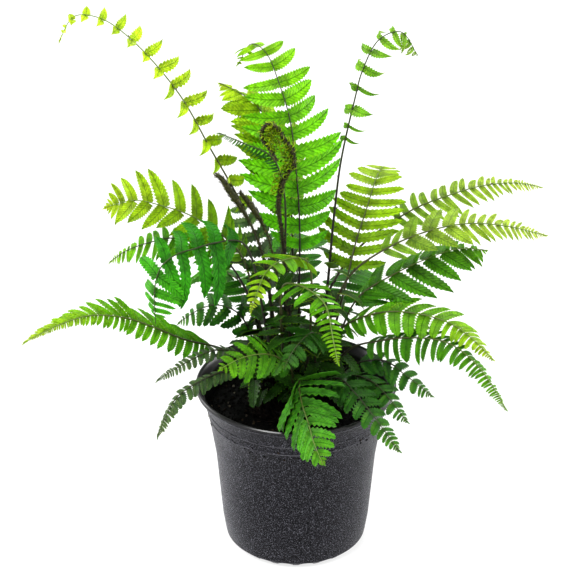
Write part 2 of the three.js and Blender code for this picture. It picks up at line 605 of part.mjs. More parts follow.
const leafletBoxes = [];
FRONDS.forEach((frond, i) => {
  const otherStems = stems.filter((_, k) => k !== i);
  const obstacles = [...potBoxes, ...crozierBoxes, ...otherStems, ...leafletBoxes];
  leafletBoxes.push(...growLeaflets(frond, obstacles));
});

fern.add(piece('pot', geometryOf(pot), '#34333a', 0.45));
fern.add(piece('soil', geometryOf(soil), '#15110f', 0.95));
fern.add(piece('crown', geometryOf(crown), '#2a1c12', 0.9));
croziers.forEach((solid, i) => fern.add(piece(CROZIERS[i].name, geometryOf(solid), '#3b3314', 0.8)));
FRONDS.forEach((frond) => fern.add(piece(frond.name, frondGeometry(frond), COLOURS[frond.colour], 0.5)));

export default fern;
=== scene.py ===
# %% [markdown]
# # A fern in a nursery pot
# This lesson dresses a measured plastic pot and plant with the detail that the eye looks for: toothed
# leaflets, scaly stalks, crumbly soil and moulded plastic. The solids come from a frame that is already
# right in size and place, so each piece is built where the frame says and nothing is fitted by hand.

# %% Load the frame
import math
import random

import bmesh
import bpy
from mathutils import Matrix, Vector, kdtree, noise


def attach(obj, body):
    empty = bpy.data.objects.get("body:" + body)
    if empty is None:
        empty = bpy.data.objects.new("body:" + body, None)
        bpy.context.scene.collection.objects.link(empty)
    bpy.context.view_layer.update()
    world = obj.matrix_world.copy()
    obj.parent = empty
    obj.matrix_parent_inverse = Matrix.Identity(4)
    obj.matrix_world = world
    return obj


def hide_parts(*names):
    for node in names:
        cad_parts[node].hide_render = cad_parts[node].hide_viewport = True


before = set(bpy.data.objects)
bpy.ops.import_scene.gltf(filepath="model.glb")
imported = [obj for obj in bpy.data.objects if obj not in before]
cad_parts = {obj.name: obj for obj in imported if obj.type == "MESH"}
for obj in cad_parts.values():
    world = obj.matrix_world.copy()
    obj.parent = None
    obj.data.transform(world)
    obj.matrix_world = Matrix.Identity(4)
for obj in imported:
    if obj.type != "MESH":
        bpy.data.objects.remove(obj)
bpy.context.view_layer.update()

MM = 0.001

# %% [markdown]
# ## The camera
# A product photograph is taken from a little way off with a long lens, so that the pot's sides stay nearly
# parallel. The place, the tilt and the focal length below were worked out from the ellipses of the pot's
# lip and base. Making the camera first lets every later choice be judged from the same viewpoint.

# %% The camera
PHOTO_WIDTH = 571
FOCAL_LENGTH_IN_PIXELS = 1915
CAMERA_TILT_DOWN = 27.2
CAMERA_PLACE = (-0.0068, -1.0748, 0.7365)

camera_data = bpy.data.cameras.new("photo_camera")
camera_data.sensor_fit = "HORIZONTAL"
camera_data.lens = FOCAL_LENGTH_IN_PIXELS * camera_data.sensor_width / PHOTO_WIDTH
camera = bpy.data.objects.new("photo_camera", camera_data)
camera.location = CAMERA_PLACE
camera.rotation_euler = (math.radians(90 - CAMERA_TILT_DOWN), 0, 0)
bpy.context.scene.collection.objects.link(camera)
bpy.context.scene.camera = camera
print("lens", round(camera_data.lens, 1), "mm")

# %% [markdown]
# ## A few small helpers
# Colours are easiest to choose as the hex values of a paint program, which are sRGB, while a shader adds
# light and needs linear numbers. And every material and every Geometry Nodes tree is a list of nodes, so one
# helper that adds a node with its settings and links keeps each recipe short enough to read.

# %% Helpers for colours and nodes
def to_linear(hex_colour):
    """The linear colour of an sRGB hex value such as '#7bc11b'."""
    channels = [int(hex_colour[i:i + 2], 16) / 255 for i in (1, 3, 5)]
    linear = [c / 12.92 if c <= 0.04045 else ((c + 0.055) / 1.055) ** 2.4 for c in channels]
    return (*linear, 1.0)


def set_sockets(tree, node, inputs):
    """Gives a node's inputs their values, or links them from other nodes' sockets."""
    for name, value in inputs.items():
        if isinstance(value, bpy.types.NodeSocket):
            tree.links.new(value, node.inputs[name])
        else:
            node.inputs[name].default_value = value


def add_node(tree, kind, inputs=None, **settings):
    """Adds a node. settings are its own properties; inputs are values, or sockets to link from."""
    node = tree.nodes.new(kind)
    for name, value in settings.items():
        setattr(node, name, value)
    set_sockets(tree, node, inputs or {})
    return node


def compute(tree, kind, *values):
    """The result of one calculation with values or sockets."""
    return add_node(tree, "ShaderNodeMath", dict(enumerate(values)), operation=kind).outputs[0]


def times(tree, a, b):
    return compute(tree, "MULTIPLY", a, b)


def new_material(name):
    """A material with an empty tree and a Principled shader on its output."""
    material = bpy.data.materials.new(name)
    material.use_nodes = True
    tree = material.node_tree
    tree.nodes.clear()
    shader = add_node(tree, "ShaderNodeBsdfPrincipled")
    add_node(tree, "ShaderNodeOutputMaterial", {"Surface": shader.outputs[0]})
    return material, tree, shader


# %% [markdown]
# ## Finished meshes
# The pot, the soil and the crown are all laid up from rings of vertices round one axis. A piece must carry
# its own place in its mesh, and its modifiers must be gone before it joins the frame. So each generated piece
# is evaluated once, copied into a plain mesh, and only then put on the frame's body in place of the plain
# part that it hides.

# %% Rings of vertices
def add_ring(body, sides, radius, place):
    """A ring of vertices round the axis, or a single one at radius 0. place gives the radius and the height
    in mm at an angle."""
    ring = []
    for k in range(sides if radius else 1):
        angle = math.tau * k / sides
        r, z = place(angle)
        ring.append(body.verts.new((r * math.cos(angle) * MM, r * math.sin(angle) * MM, z * MM)))
    return ring


def join_rings(body, rings, sides):
    """The faces between neighbouring rings: triangles round a single vertex, else quads."""
    faces = []
    for lower, upper in zip(rings, rings[1:]):
        for k in range(sides):
            after = (k + 1) % sides
            corners = [lower[k % len(lower)], lower[after % len(lower)], upper[after % len(upper)],
                       upper[k % len(upper)]]
            faces.append(body.faces.new(list(dict.fromkeys(corners))))
    return faces


def finished_mesh(body, name, smooth=True):
    """A plain mesh with its faces turned outwards."""
    bmesh.ops.recalc_face_normals(body, faces=body.faces)
    mesh = bpy.data.meshes.new(name)
    body.to_mesh(mesh)
    body.free()
    if smooth:
        mesh.shade_smooth()
    return mesh


# %% Turning a generated piece into a plain mesh
def link(name, mesh):
    piece = bpy.data.objects.new(name, mesh)
    bpy.context.scene.collection.objects.link(piece)
    return piece


def add_tree(piece, tree, values):
    """Puts a Geometry Nodes tree on a piece and sets its inputs, through the sockets' identifiers."""
    modifier = piece.modifiers.new(tree.name, "NODES")
    modifier.node_group = tree
    for item in tree.interface.items_tree:
        if item.item_type == "SOCKET" and item.in_out == "INPUT" and item.name in values:
            modifier[item.identifier] = values[item.name]


def make_plain(piece):
    """Replaces a piece's live modifiers by the mesh that they make."""
    graph = bpy.context.evaluated_depsgraph_get()
    mesh = bpy.data.meshes.new_from_object(piece.evaluated_get(graph))
    mesh.name = piece.name
    piece.modifiers.clear()
    piece.data = mesh


def stands_for(piece, node, slot):
    """The piece rides on the pot's body and hides its plain solid; the slot is not used."""
    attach(piece, "root")
    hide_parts(node)
    print(piece.name, "has", len(piece.data.polygons), "faces")


# %% [markdown]
# ## The pot: injection-moulded polypropylene
# A nursery pot is a thin cup drawn off a steel core. It tapers so that it leaves the mould, it has a stiff
# rolled lip, a collar that lets pots stack without jamming, and notches round the foot that let water out.
# It could be a Screw modifier on a profile, but the notches break the symmetry, so the rings are laid one
# by one and the foot's rings are lifted into an arch wherever a notch comes.

# %% The pot's outline
POT_SIDES = 360
NOTCH_COUNT = 20
NOTCH_HEIGHT = 4.0
NOTCH_HALF_WIDTH = 5.0
NOTCH_INNER_EDGE = 38.1
# (radius, height) in mm: under the foot, up the wall and down the lining
POT_FOOT = [(0, 0), (25, 0), (38, 0), (NOTCH_INNER_EDGE, 0), (40, 0), (42, 0)]
POT_WALL = [(42, 0), (42.7, 0.5), (43.6, 1.4), (44.6, 2.4), (45.5, 3.3), (46.4, 4.2), (46.8, 6), (48.6, 18),
            (50.5, 41), (52.4, 64), (54.7, 79), (56.9, 93.2), (57.3, 93.7), (57.35, 94.2), (57.2, 94.6),
            (58.2, 99.4), (58.6, 99.8), (58.65, 100.3), (58.5, 100.7), (59.9, 105), (61.2, 108.9),
            (62.0, 110.4), (63.1, 111.1), (64.2, 111.6), (64.8, 112.3), (65, 113.3), (64.8, 114.3),
            (64.2, 114.9)]
POT_LINING = [(63.5, 115), (62.9, 114.7), (62.3, 113.9), (61.3, 111.2), (60.5, 109.2), (60.1, 108.9),
              (59.7, 108.6), (59.4, 107.6), (55.4, 87), (50.8, 64), (47, 18), (43.9, 6.6), (43, 5.0),
              (42, 4.6), (20, 4.6), (0, 4.6)]
POLISHED_FROM = 113
SAME_VERTEX = 1e-6
SHARP_FROM = math.radians(30)


def wall_radius(z):
    """The outer radius of the pot's wall at a height, in mm."""
    for (r0, z0), (r1, z1) in zip(POT_WALL, POT_WALL[1:]):
        if z0 <= z <= z1:
            return r0 + (r1 - r0) * (z - z0) / (z1 - z0)
    return POT_WALL[0][0]


def notch_height(angle, radius):
    """How high the nearest drain notch arches over this place on the foot."""
    period = math.tau / NOTCH_COUNT
    away = (angle % period) - period / 2
    sideways = abs(away) * radius / NOTCH_HALF_WIDTH
    return NOTCH_HEIGHT * math.sqrt(max(0.0, 1 - sideways ** 2))


def pot_place(angle, r, z, part):
    """The radius and height of a point of the outline, which a notch may lift."""
    notched = part != "lining" and r >= NOTCH_INNER_EDGE and z < NOTCH_HEIGHT
    lift = notch_height(angle, r) if notched else 0
    height = max(z, lift)
    return wall_radius(height) if part == "wall" and lift > z else r, height


# %% The pot's mesh
def pot_mesh():
    profiles = (("foot", POT_FOOT), ("wall", POT_WALL[1:]), ("lining", POT_LINING))
    outline = [(r, z, part) for part, profile in profiles for r, z in profile]
    shell = bmesh.new()
    rings = [add_ring(shell, POT_SIDES, r, lambda angle: pot_place(angle, r, z, part))
             for r, z, part in outline]
    for lower, upper, (r, z, part) in zip(rings, rings[1:], outline):
        for face in join_rings(shell, [lower, upper], POT_SIDES):
            face.material_index = int(part == "lining" or z > POLISHED_FROM)
    bmesh.ops.remove_doubles(shell, verts=shell.verts, dist=SAME_VERTEX)
    bmesh.ops.dissolve_degenerate(shell, edges=shell.edges, dist=SAME_VERTEX)
    mesh = finished_mesh(shell, "pot")
    mesh.set_sharp_from_angle(angle=SHARP_FROM)
    return mesh


pot = link("nursery_pot", pot_mesh())

# %% [markdown]
# ### Moulded polypropylene with recycled flecks
# The pot is made of reground plastic: charcoal, with a pebbled mould texture that breaks the light into
# tiny pale flecks. Polypropylene has an IOR near 1.49. The mould's grain is about 0.3 mm; it is drawn at
# about 0.6 mm here, so that it still shows at the size of the picture. A grain like this scatters light at
# a glancing angle, which pales the pot's two edges: a little sheen does that. The two thin ridges on the
# collar each get a thin pale line painted on, a painted highlight where light catches the ridge.

# %% Helpers for finishes
def object_place(tree):
    """The place on the piece itself, so that a pattern stays with it."""
    return add_node(tree, "ShaderNodeTexCoord").outputs["Object"]


def noise_at(tree, place, scale, detail, roughness=0.5):
    """Clouds of values round one half; scale says how many there are in a metre."""
    return add_node(tree, "ShaderNodeTexNoise", {"Vector": place, "Scale": scale, "Detail": detail,
                                                 "Roughness": roughness}).outputs["Fac"]


def add_ramp(tree, factor, stops):
    """A colour ramp from (place, hex colour) stops."""
    node = add_node(tree, "ShaderNodeValToRGB", {"Fac": factor})
    elements = node.color_ramp.elements
    while len(elements) < len(stops):
        elements.new(0.5)
    for element, (place, colour) in zip(elements, stops):
        element.position = place
        element.color = to_linear(colour)
    return node.outputs["Color"]


def remap(tree, value, low, high, to_low=0.0, to_high=1.0, ease="LINEAR"):
    """Turns the range from low to high into another one."""
    return add_node(tree, "ShaderNodeMapRange", {0: value, 1: low, 2: high, 3: to_low, 4: to_high},
                    interpolation_type=ease).outputs[0]


def mix_colours(tree, amount, first, second):
    return add_node(tree, "ShaderNodeMix", {0: amount, 6: first, 7: second}, data_type="RGBA").outputs[2]


def relief(tree, height, strength, depth):
    """A normal that makes a flat surface look as rough as the height says; depth is in metres."""
    return add_node(tree, "ShaderNodeBump",
                    {"Height": height, "Strength": strength, "Distance": depth}).outputs[0]


# %% The pot's plastic
RIDGE_HEIGHTS = (94.1, 100.2)
RIDGE_HIGHLIGHT_HALF_WIDTH = 0.3
POLYPROPYLENE_IOR = 1.49


def polypropylene():
    material, tree, shader = new_material("moulded_polypropylene")
    place = object_place(tree)
    grain = noise_at(tree, place, scale=1700, detail=2, roughness=0.9)
    clouds = noise_at(tree, place, scale=45, detail=3, roughness=0.6)
    colour = add_ramp(tree, grain, [
        (0.42, "#020203"), (0.50, "#131317"), (0.58, "#2e2e34"), (0.68, "#9c9ba6")])
    height = add_node(tree, "ShaderNodeSeparateXYZ", {0: place}).outputs["Z"]
    # a pale line painted on each ridge of the collar: a painted highlight, broken up by the clouds
    ridge_highlights = [compute(tree, "COMPARE", height, z * MM, RIDGE_HIGHLIGHT_HALF_WIDTH * MM) for z in RIDGE_HEIGHTS]
    ridge_highlight = times(tree, compute(tree, "MAXIMUM", *ridge_highlights), remap(tree, clouds, 0.4, 0.6, 0, 0.35))
    set_sockets(tree, shader, {
        "Base Color": mix_colours(tree, ridge_highlight, colour, to_linear("#8d8c92")),
        "Roughness": remap(tree, clouds, 0, 1, 0.3, 0.42), "IOR": POLYPROPYLENE_IOR,
        "Specular IOR Level": 0.12,
        "Sheen Weight": 0.38, "Sheen Roughness": 0.25, "Sheen Tint": to_linear("#c8c8d0"),
        "Normal": relief(tree, grain, strength=0.7, depth=0.4 * MM)})
    return material


def polished_lining():
    """The wall inside is drawn off a polished core: smooth, black and glossier."""
    material, tree, shader = new_material("polished_polypropylene")
    set_sockets(tree, shader, {
        "Base Color": to_linear("#0c0c0d"), "Roughness": 0.3, "IOR": POLYPROPYLENE_IOR})
    return material


pot.data.materials.append(polypropylene())
pot.data.materials.append(polished_lining())
stands_for(pot, "pot", "pot_plastic")

# %% [markdown]
# ## The soil
# Potting mix is peat and fine bark, nearly black when it is damp, with a few pale crumbs of perlite. The
# surface is a low relief that sinks a little at the wall. Crumbs that lie on it repeat, so a Geometry
# Nodes tree scatters them: points on the faces, a lump on each point, a random turn and size.

# %% The soil's surface
# lengths in mm; SOIL_UNDER is (radius, height) down along the lining
SOIL_TOP = 97
SOIL_EDGE = 57.0
SOIL_UNDER = [(50.5, 64), (46.3, 18), (42.3, 4.95), (0, 4.95)]
SOIL_RINGS, SOIL_SPOKES = 44, 150
SWELLS_PER_MM, SWELL_HEIGHT = 0.06, 1.6
CLODS_PER_MM, CLOD_HEIGHT = 0.35, 0.9
CLOD_FALLOFF, CLOD_GAP, CLOD_OCTAVES = 0.8, 2.2, 4
SINK, SINK_FROM = 1.2, 0.93


def soil_place(angle, radius):
    """The radius and height of a point of the surface, in mm."""
    x, y = radius * math.cos(angle), radius * math.sin(angle)
    swell = noise.noise(Vector((x, y, 3)) * SWELLS_PER_MM) * SWELL_HEIGHT
    clods = noise.fractal(Vector((x, y, 0)) * CLODS_PER_MM, CLOD_FALLOFF, CLOD_GAP, CLOD_OCTAVES)
    sink = -SINK * max(0, radius / SOIL_EDGE - SINK_FROM) / (1 - SINK_FROM)
    return radius, SOIL_TOP + swell + clods * CLOD_HEIGHT + sink


def soil_mesh():
    body = bmesh.new()
    radii = [SOIL_EDGE * (1 - ring / SOIL_RINGS) for ring in range(SOIL_RINGS + 1)]
    rings = [add_ring(body, SOIL_SPOKES, r, lambda angle: soil_place(angle, r)) for r in radii]
    for r, z in SOIL_UNDER:
        rings.insert(0, add_ring(body, SOIL_SPOKES, r, lambda angle: (r, z)))
    join_rings(body, rings, SOIL_SPOKES)
    return finished_mesh(body, "soil")


# %% [markdown]
# ### Crumbs
# One lump is a roughened icosphere of twenty faces. The tree reads which way the surface faces, so crumbs
# only land on top and never on the hidden sides. Each crumb keeps a random number that the soil's material
# uses to choose between peat, bark and perlite.

# %% A lump
LUMP_SPREAD = (0.65, 1.1)
LUMP_FLATNESS = 0.7


def lump(name, seed):
    shape = bmesh.new()
    bmesh.ops.create_icosphere(shape, subdivisions=1, radius=1)
    draw = random.Random(seed)
    for vertex in shape.verts:
        vertex.co *= draw.uniform(*LUMP_SPREAD)
        vertex.co.z *= LUMP_FLATNESS
    return link(name, finished_mesh(shape, name, smooth=False))


# %% Helpers for Geometry Nodes
def new_tree(name, sockets):
    """A Geometry Nodes tree with a geometry input and output and the named inputs."""
    tree = bpy.data.node_groups.new(name, "GeometryNodeTree")
    tree.interface.new_socket("Geometry", in_out="INPUT", socket_type="NodeSocketGeometry")
    tree.interface.new_socket("Geometry", in_out="OUTPUT", socket_type="NodeSocketGeometry")
    for socket_name, kind in sockets.items():
        tree.interface.new_socket(socket_name, in_out="INPUT", socket_type="NodeSocket" + kind)
    return tree, add_node(tree, "NodeGroupInput").outputs


def named(tree, name, kind="FLOAT"):
    """Reads a named attribute inside a tree."""
    node = add_node(tree, "GeometryNodeInputNamedAttribute", {"Name": name}, data_type=kind)
    return node.outputs["Attribute"]


def random_number(tree, low, high, seed):
    node = add_node(tree, "FunctionNodeRandomValue", {2: low, 3: high, "Seed": seed}, data_type="FLOAT")
    return node.outputs[1]


def random_vector(tree, low, high, seed):
    return add_node(tree, "FunctionNodeRandomValue", {0: (low,) * 3, 1: (high,) * 3, "Seed": seed},
                    data_type="FLOAT_VECTOR").outputs[0]


def copies_on(tree, points, shape, turn, size):
    """A copy of the shape on every point."""
    source = add_node(tree, "GeometryNodeObjectInfo", {"Object": shape})
    return add_node(tree, "GeometryNodeInstanceOnPoints",
                    {"Points": points, "Instance": source.outputs["Geometry"], "Rotation": turn,
                     "Scale": size}).outputs[0]


def realize(tree, copies):
    return add_node(tree, "GeometryNodeRealizeInstances", {0: copies}).outputs[0]


def made_of(tree, material, geometry):
    return add_node(tree, "GeometryNodeSetMaterial", {"Geometry": geometry, "Material": material}).outputs[0]


def joined(tree, *geometries):
    node = add_node(tree, "GeometryNodeJoinGeometry")
    for geometry in geometries:
        tree.links.new(geometry, node.inputs[0])
    return node.outputs[0]


# %% The tree that scatters crumbs
UPWARD = 0.3


def crumb_tree():
    tree, given = new_tree("scatter_crumbs", {
        "Lump": "Object", "Crumbs per square metre": "Float", "Smallest": "Float", "Largest": "Float",
        "Seed": "Int", "Soil": "Material"})
    normal = add_node(tree, "GeometryNodeInputNormal").outputs[0]
    height = add_node(tree, "ShaderNodeSeparateXYZ", {0: normal}).outputs["Z"]
    on_top = add_node(tree, "FunctionNodeCompare", {0: height, 1: UPWARD}, operation="GREATER_THAN")
    points = add_node(tree, "GeometryNodeDistributePointsOnFaces",
                      {"Mesh": given["Geometry"], "Selection": on_top.outputs[0],
                       "Density": given["Crumbs per square metre"], "Seed": given["Seed"]})
    crumbs = copies_on(tree, points.outputs["Points"], given["Lump"],
                       random_vector(tree, 0.0, math.tau, given["Seed"]),
                       random_number(tree, given["Smallest"], given["Largest"], given["Seed"]))
    graded = add_node(tree, "GeometryNodeStoreNamedAttribute",
                      {"Geometry": crumbs, "Name": "grade",
                       "Value": random_number(tree, 0.0, 1.0, given["Seed"])},
                      data_type="FLOAT", domain="INSTANCE")
    surface = joined(tree, realize(tree, graded.outputs[0]), given["Geometry"])
    add_node(tree, "NodeGroupOutput", {0: made_of(tree, given["Soil"], surface)})
    return tree


# %% [markdown]
# ### Damp peat
# Peat is a soft, porous material with almost no gloss. A damp surface is darker and has small wet glints,
# so the roughness varies with the same noise that darkens it.

# %% The soil's material
def attribute(tree, name):
    """Reads a named attribute inside a material."""
    return add_node(tree, "ShaderNodeAttribute", attribute_name=name).outputs["Fac"]


def damp_peat():
    """Peat where no crumb lies; a crumb's grade makes it peat, bark or, rarely, perlite."""
    material, tree, shader = new_material("damp_peat_and_bark")
    clods = noise_at(tree, object_place(tree), scale=160, detail=6, roughness=0.7)
    ground = add_ramp(tree, clods, [(0.3, "#010100"), (0.55, "#040302"), (0.8, "#0b0906")])
    crumbs = add_ramp(tree, attribute(tree, "grade"), [
        (0.0, "#020201"), (0.6, "#060403"), (0.93, "#120d08"), (0.985, "#4a3e30"), (1.0, "#a9a296")])
    set_sockets(tree, shader, {
        "Base Color": mix_colours(tree, 0.6, ground, crumbs),
        "Roughness": remap(tree, clods, 0.3, 0.7, 0.55, 0.95),
        "Specular IOR Level": 0.15, "Normal": relief(tree, clods, strength=0.8, depth=1 * MM)})
    return material


soil = link("potting_soil", soil_mesh())
crumb_shape = lump("crumb_shape", seed=5)
add_tree(soil, crumb_tree(), {
    "Lump": crumb_shape, "Crumbs per square metre": 180000.0, "Smallest": 0.4 * MM, "Largest": 1.2 * MM,
    "Seed": 11, "Soil": damp_peat()})
make_plain(soil)
stands_for(soil, "soil", "soil")

# %% [markdown]
# ## How a frond is built
# A fern frond is a stipe (the bare stalk) that goes on as a rachis (the midrib of the whole blade), with two
# rows of leaflets. All of it follows from one path and a few numbers: how much of the path is bare, how many
# pairs there are, how long the longest leaflet is and where it sits. The same numbers made the plain solids,
# so the finer leaflets grow where the plain ones are. The tables below go round the plant.

# %% What the values of a frond mean
# These shape the plain solids too:
#   path: points of the rachis from the crown to the tip, in mm. heading: where the frond arches to, in
#   degrees from +X. bare: the share of the path without leaflets. pairs: how many pairs. cover: how much of
#   its pitch a plain leaflet takes. reach: the longest leaflet, in mm. widest: where on the blade that one
#   sits. blunt: how late the blade narrows. crowd: how much the pairs crowd towards the tip. lean: how far a
#   leaflet points forward. fold: leaflets raised (+) or hanging (-). roll: turn about the rachis.
# These only shape the fine leaflets:
#   shape and leaf: their outline and finish. fill: how much of its pitch a leaflet covers. slim: how wide for
#   its length it may be, before it is divided. narrow: the most that it may be, divided or not. stretch:
#   longer than the plain one. curl, coil and twist: how far it rolls under, how much more so at the tip, and
#   how far it turns aside. splay: more lean at the foot of the blade.
#   In pairs, for the side on the left of the path and the other side: uneven: shorter or longer leaflets.
#   wane: how much of their length is lost towards the tip. swing: more lean.
# A frond that doesn't name a value has the usual one.
USUAL = dict(stalk="olive", cover=1, widest=0.3, blunt=1.25, crowd=1.2, lean=0.3, roll=0, slim=0.42, narrow=1,
             stretch=1, curl=0.35, coil=0, twist=0.12, splay=0, uneven=(1, 1), wane=(0, 0), swing=(0, 0))
print(len(USUAL), "values need no entry")

# %% The tall arching fronds
TALL = [
    dict(name="frond_tall_left", slot="leaf_lime", leaf="lime", shape="lance", heading=180, bare=0.42,
         pairs=16, cover=0.6, reach=17, widest=0.35, fold=25, roll=-25, fill=0.66, slim=0.6, stretch=2.1,
         curl=0.75, twist=0.5, lean=0.5, blunt=1.3, crowd=1.3, uneven=(0.45, 1.0), splay=-1.2,
         wane=(0.4, 0.6),
         path=[(-9, 7, 100), (-15, 8, 160), (-22, 9, 204), (-35, 10, 238), (-53, 12, 273), (-72, 14, 309),
               (-100, 16, 343), (-118, 16, 356), (-133, 16, 357), (-143, 16, 341)]),
    dict(name="frond_tall_middle", slot="leaf_lime", leaf="bright", shape="long", stalk="dark", heading=105,
         bare=0.38, pairs=15, cover=0.85, reach=36, fold=-6, fill=1.12, curl=0.55, twist=0.16, lean=0.1,
         blunt=0.9, crowd=1.1, slim=0.8, narrow=0.46, wane=(-0.35, -0.6), stretch=0.92,
         path=[(1, 8, 100), (2, 12, 175), (2, 18, 222), (0, 26, 250), (-4, 36, 282), (-10, 44, 301),
               (-19, 54, 320), (-28, 62, 323), (-37, 70, 306)]),
    dict(name="frond_tall_right", slot="leaf_lime", leaf="silver", shape="lance", stalk="dark", heading=25,
         bare=0.62, pairs=12, cover=0.5, reach=12, widest=0.2, fold=0, roll=30, fill=0.62, slim=0.6,
         stretch=1.25, curl=1.0, twist=0.8, lean=-0.9, blunt=2.5, coil=4.0, crowd=1.9, splay=-0.8,
         swing=(0.8, 0.8),
         path=[(8, 7, 100), (17, 12, 146), (24, 26, 221), (28, 31, 256), (36, 36, 295), (41, 38, 315),
               (51, 40, 334), (64, 42, 338), (75, 44, 322)]),
    dict(name="frond_tall_back", slot="leaf_lime", leaf="spring", shape="long", stalk="dark", heading=135,
         bare=0.52, pairs=12, reach=30, widest=0.35, fold=-10, fill=1.3, curl=0.5, lean=0.7, slim=0.6,
         path=[(-3, 14, 100), (-2, 30, 180), (-5, 38, 240), (-13, 48, 268), (-29, 60, 286), (-49, 72, 293)]),
]
print(len(TALL), "tall fronds")

# %% The fronds in front
# what the old, dark and broad fronds have in common
OLD = dict(slot="leaf_dark", leaf="old", shape="broad", stalk="dark", slim=0.8)
FRONT = [
    dict(name="frond_front_middle", slot="leaf_green", leaf="grown", shape="broad", heading=280, bare=0.3,
         pairs=10, reach=29, widest=0.12, fold=-12, roll=25, fill=1.02, slim=0.6, lean=0.6,
         swing=(-0.1, 0.4),
         path=[(1, -19, 100), (2, -32, 134), (2, -50, 136), (4, -62, 132), (7, -73, 128), (11, -85, 119),
               (16, -92, 110)]),
    dict(name="frond_front_pointing", slot="leaf_lime", leaf="fresh", shape="oblong", heading=285, bare=0.6,
         pairs=9, reach=24, widest=0.1, fold=-10, fill=0.75, lean=0.0, blunt=0.5,
         path=[(-4, -12, 100), (-9, -24, 160), (-8, -36, 203), (-1, -46, 209), (9, -60, 211), (17, -72, 208),
               (21, -88, 195), (24, -96, 182)]),
    dict(name="frond_front_small", slot="leaf_lime", leaf="sunny", shape="oblong", heading=225, bare=0.6,
         pairs=8, reach=19, widest=0.15, fold=-5, fill=0.8, lean=0.1, uneven=(0.7, 1.2),
         path=[(4, -10, 100), (9, -16, 170), (6, -24, 214), (-10, -35, 219), (-19, -45, 216),
               (-24, -52, 206), (-28, -57, 196)]),
    dict(name="frond_front_left", slot="leaf_green", leaf="glade", shape="broad", heading=205, bare=0.4,
         pairs=8, reach=17, widest=0.5, fold=-12, roll=-30, fill=0.95, slim=0.8,
         path=[(-6, -19, 100), (-3, -30, 140), (-16, -42, 158), (-32, -52, 162), (-47, -60, 158)]),
    dict(OLD, name="frond_front_dark", heading=240, bare=0.5, pairs=7, reach=17, widest=0.25, fold=-12,
         fill=1.0,
         path=[(11, -11, 100), (12, -20, 145), (11, -27, 165), (6, -36, 168), (-2, -44, 162),
               (-8, -50, 152)]),
    dict(OLD, name="frond_front_right", heading=310, bare=0.3, pairs=10, reach=14, widest=0.2, fold=-15,
         roll=20, fill=1.05, lean=0.5,
         path=[(8, -17, 100), (18, -26, 130), (28, -36, 137), (36, -47, 134), (46, -60, 127), (55, -69, 118),
               (63, -76, 109)]),
    dict(OLD, name="frond_rim_right", heading=322, bare=0.4, pairs=8, reach=13, widest=0.2, fold=-10,
         roll=10, fill=1.0,
         path=[(17, -12, 100), (30, -20, 130), (46, -30, 133), (57, -42, 128), (69, -53, 116)]),
    dict(OLD, name="frond_rim_far_right", heading=345, bare=0.42, pairs=8, reach=13, fold=-10, roll=20,
         fill=1.0,
         path=[(19, -6, 100), (34, -8, 130), (56, -14, 138), (68, -20, 132), (86, -28, 120)]),
]
print(len(FRONT), "fronds in front")

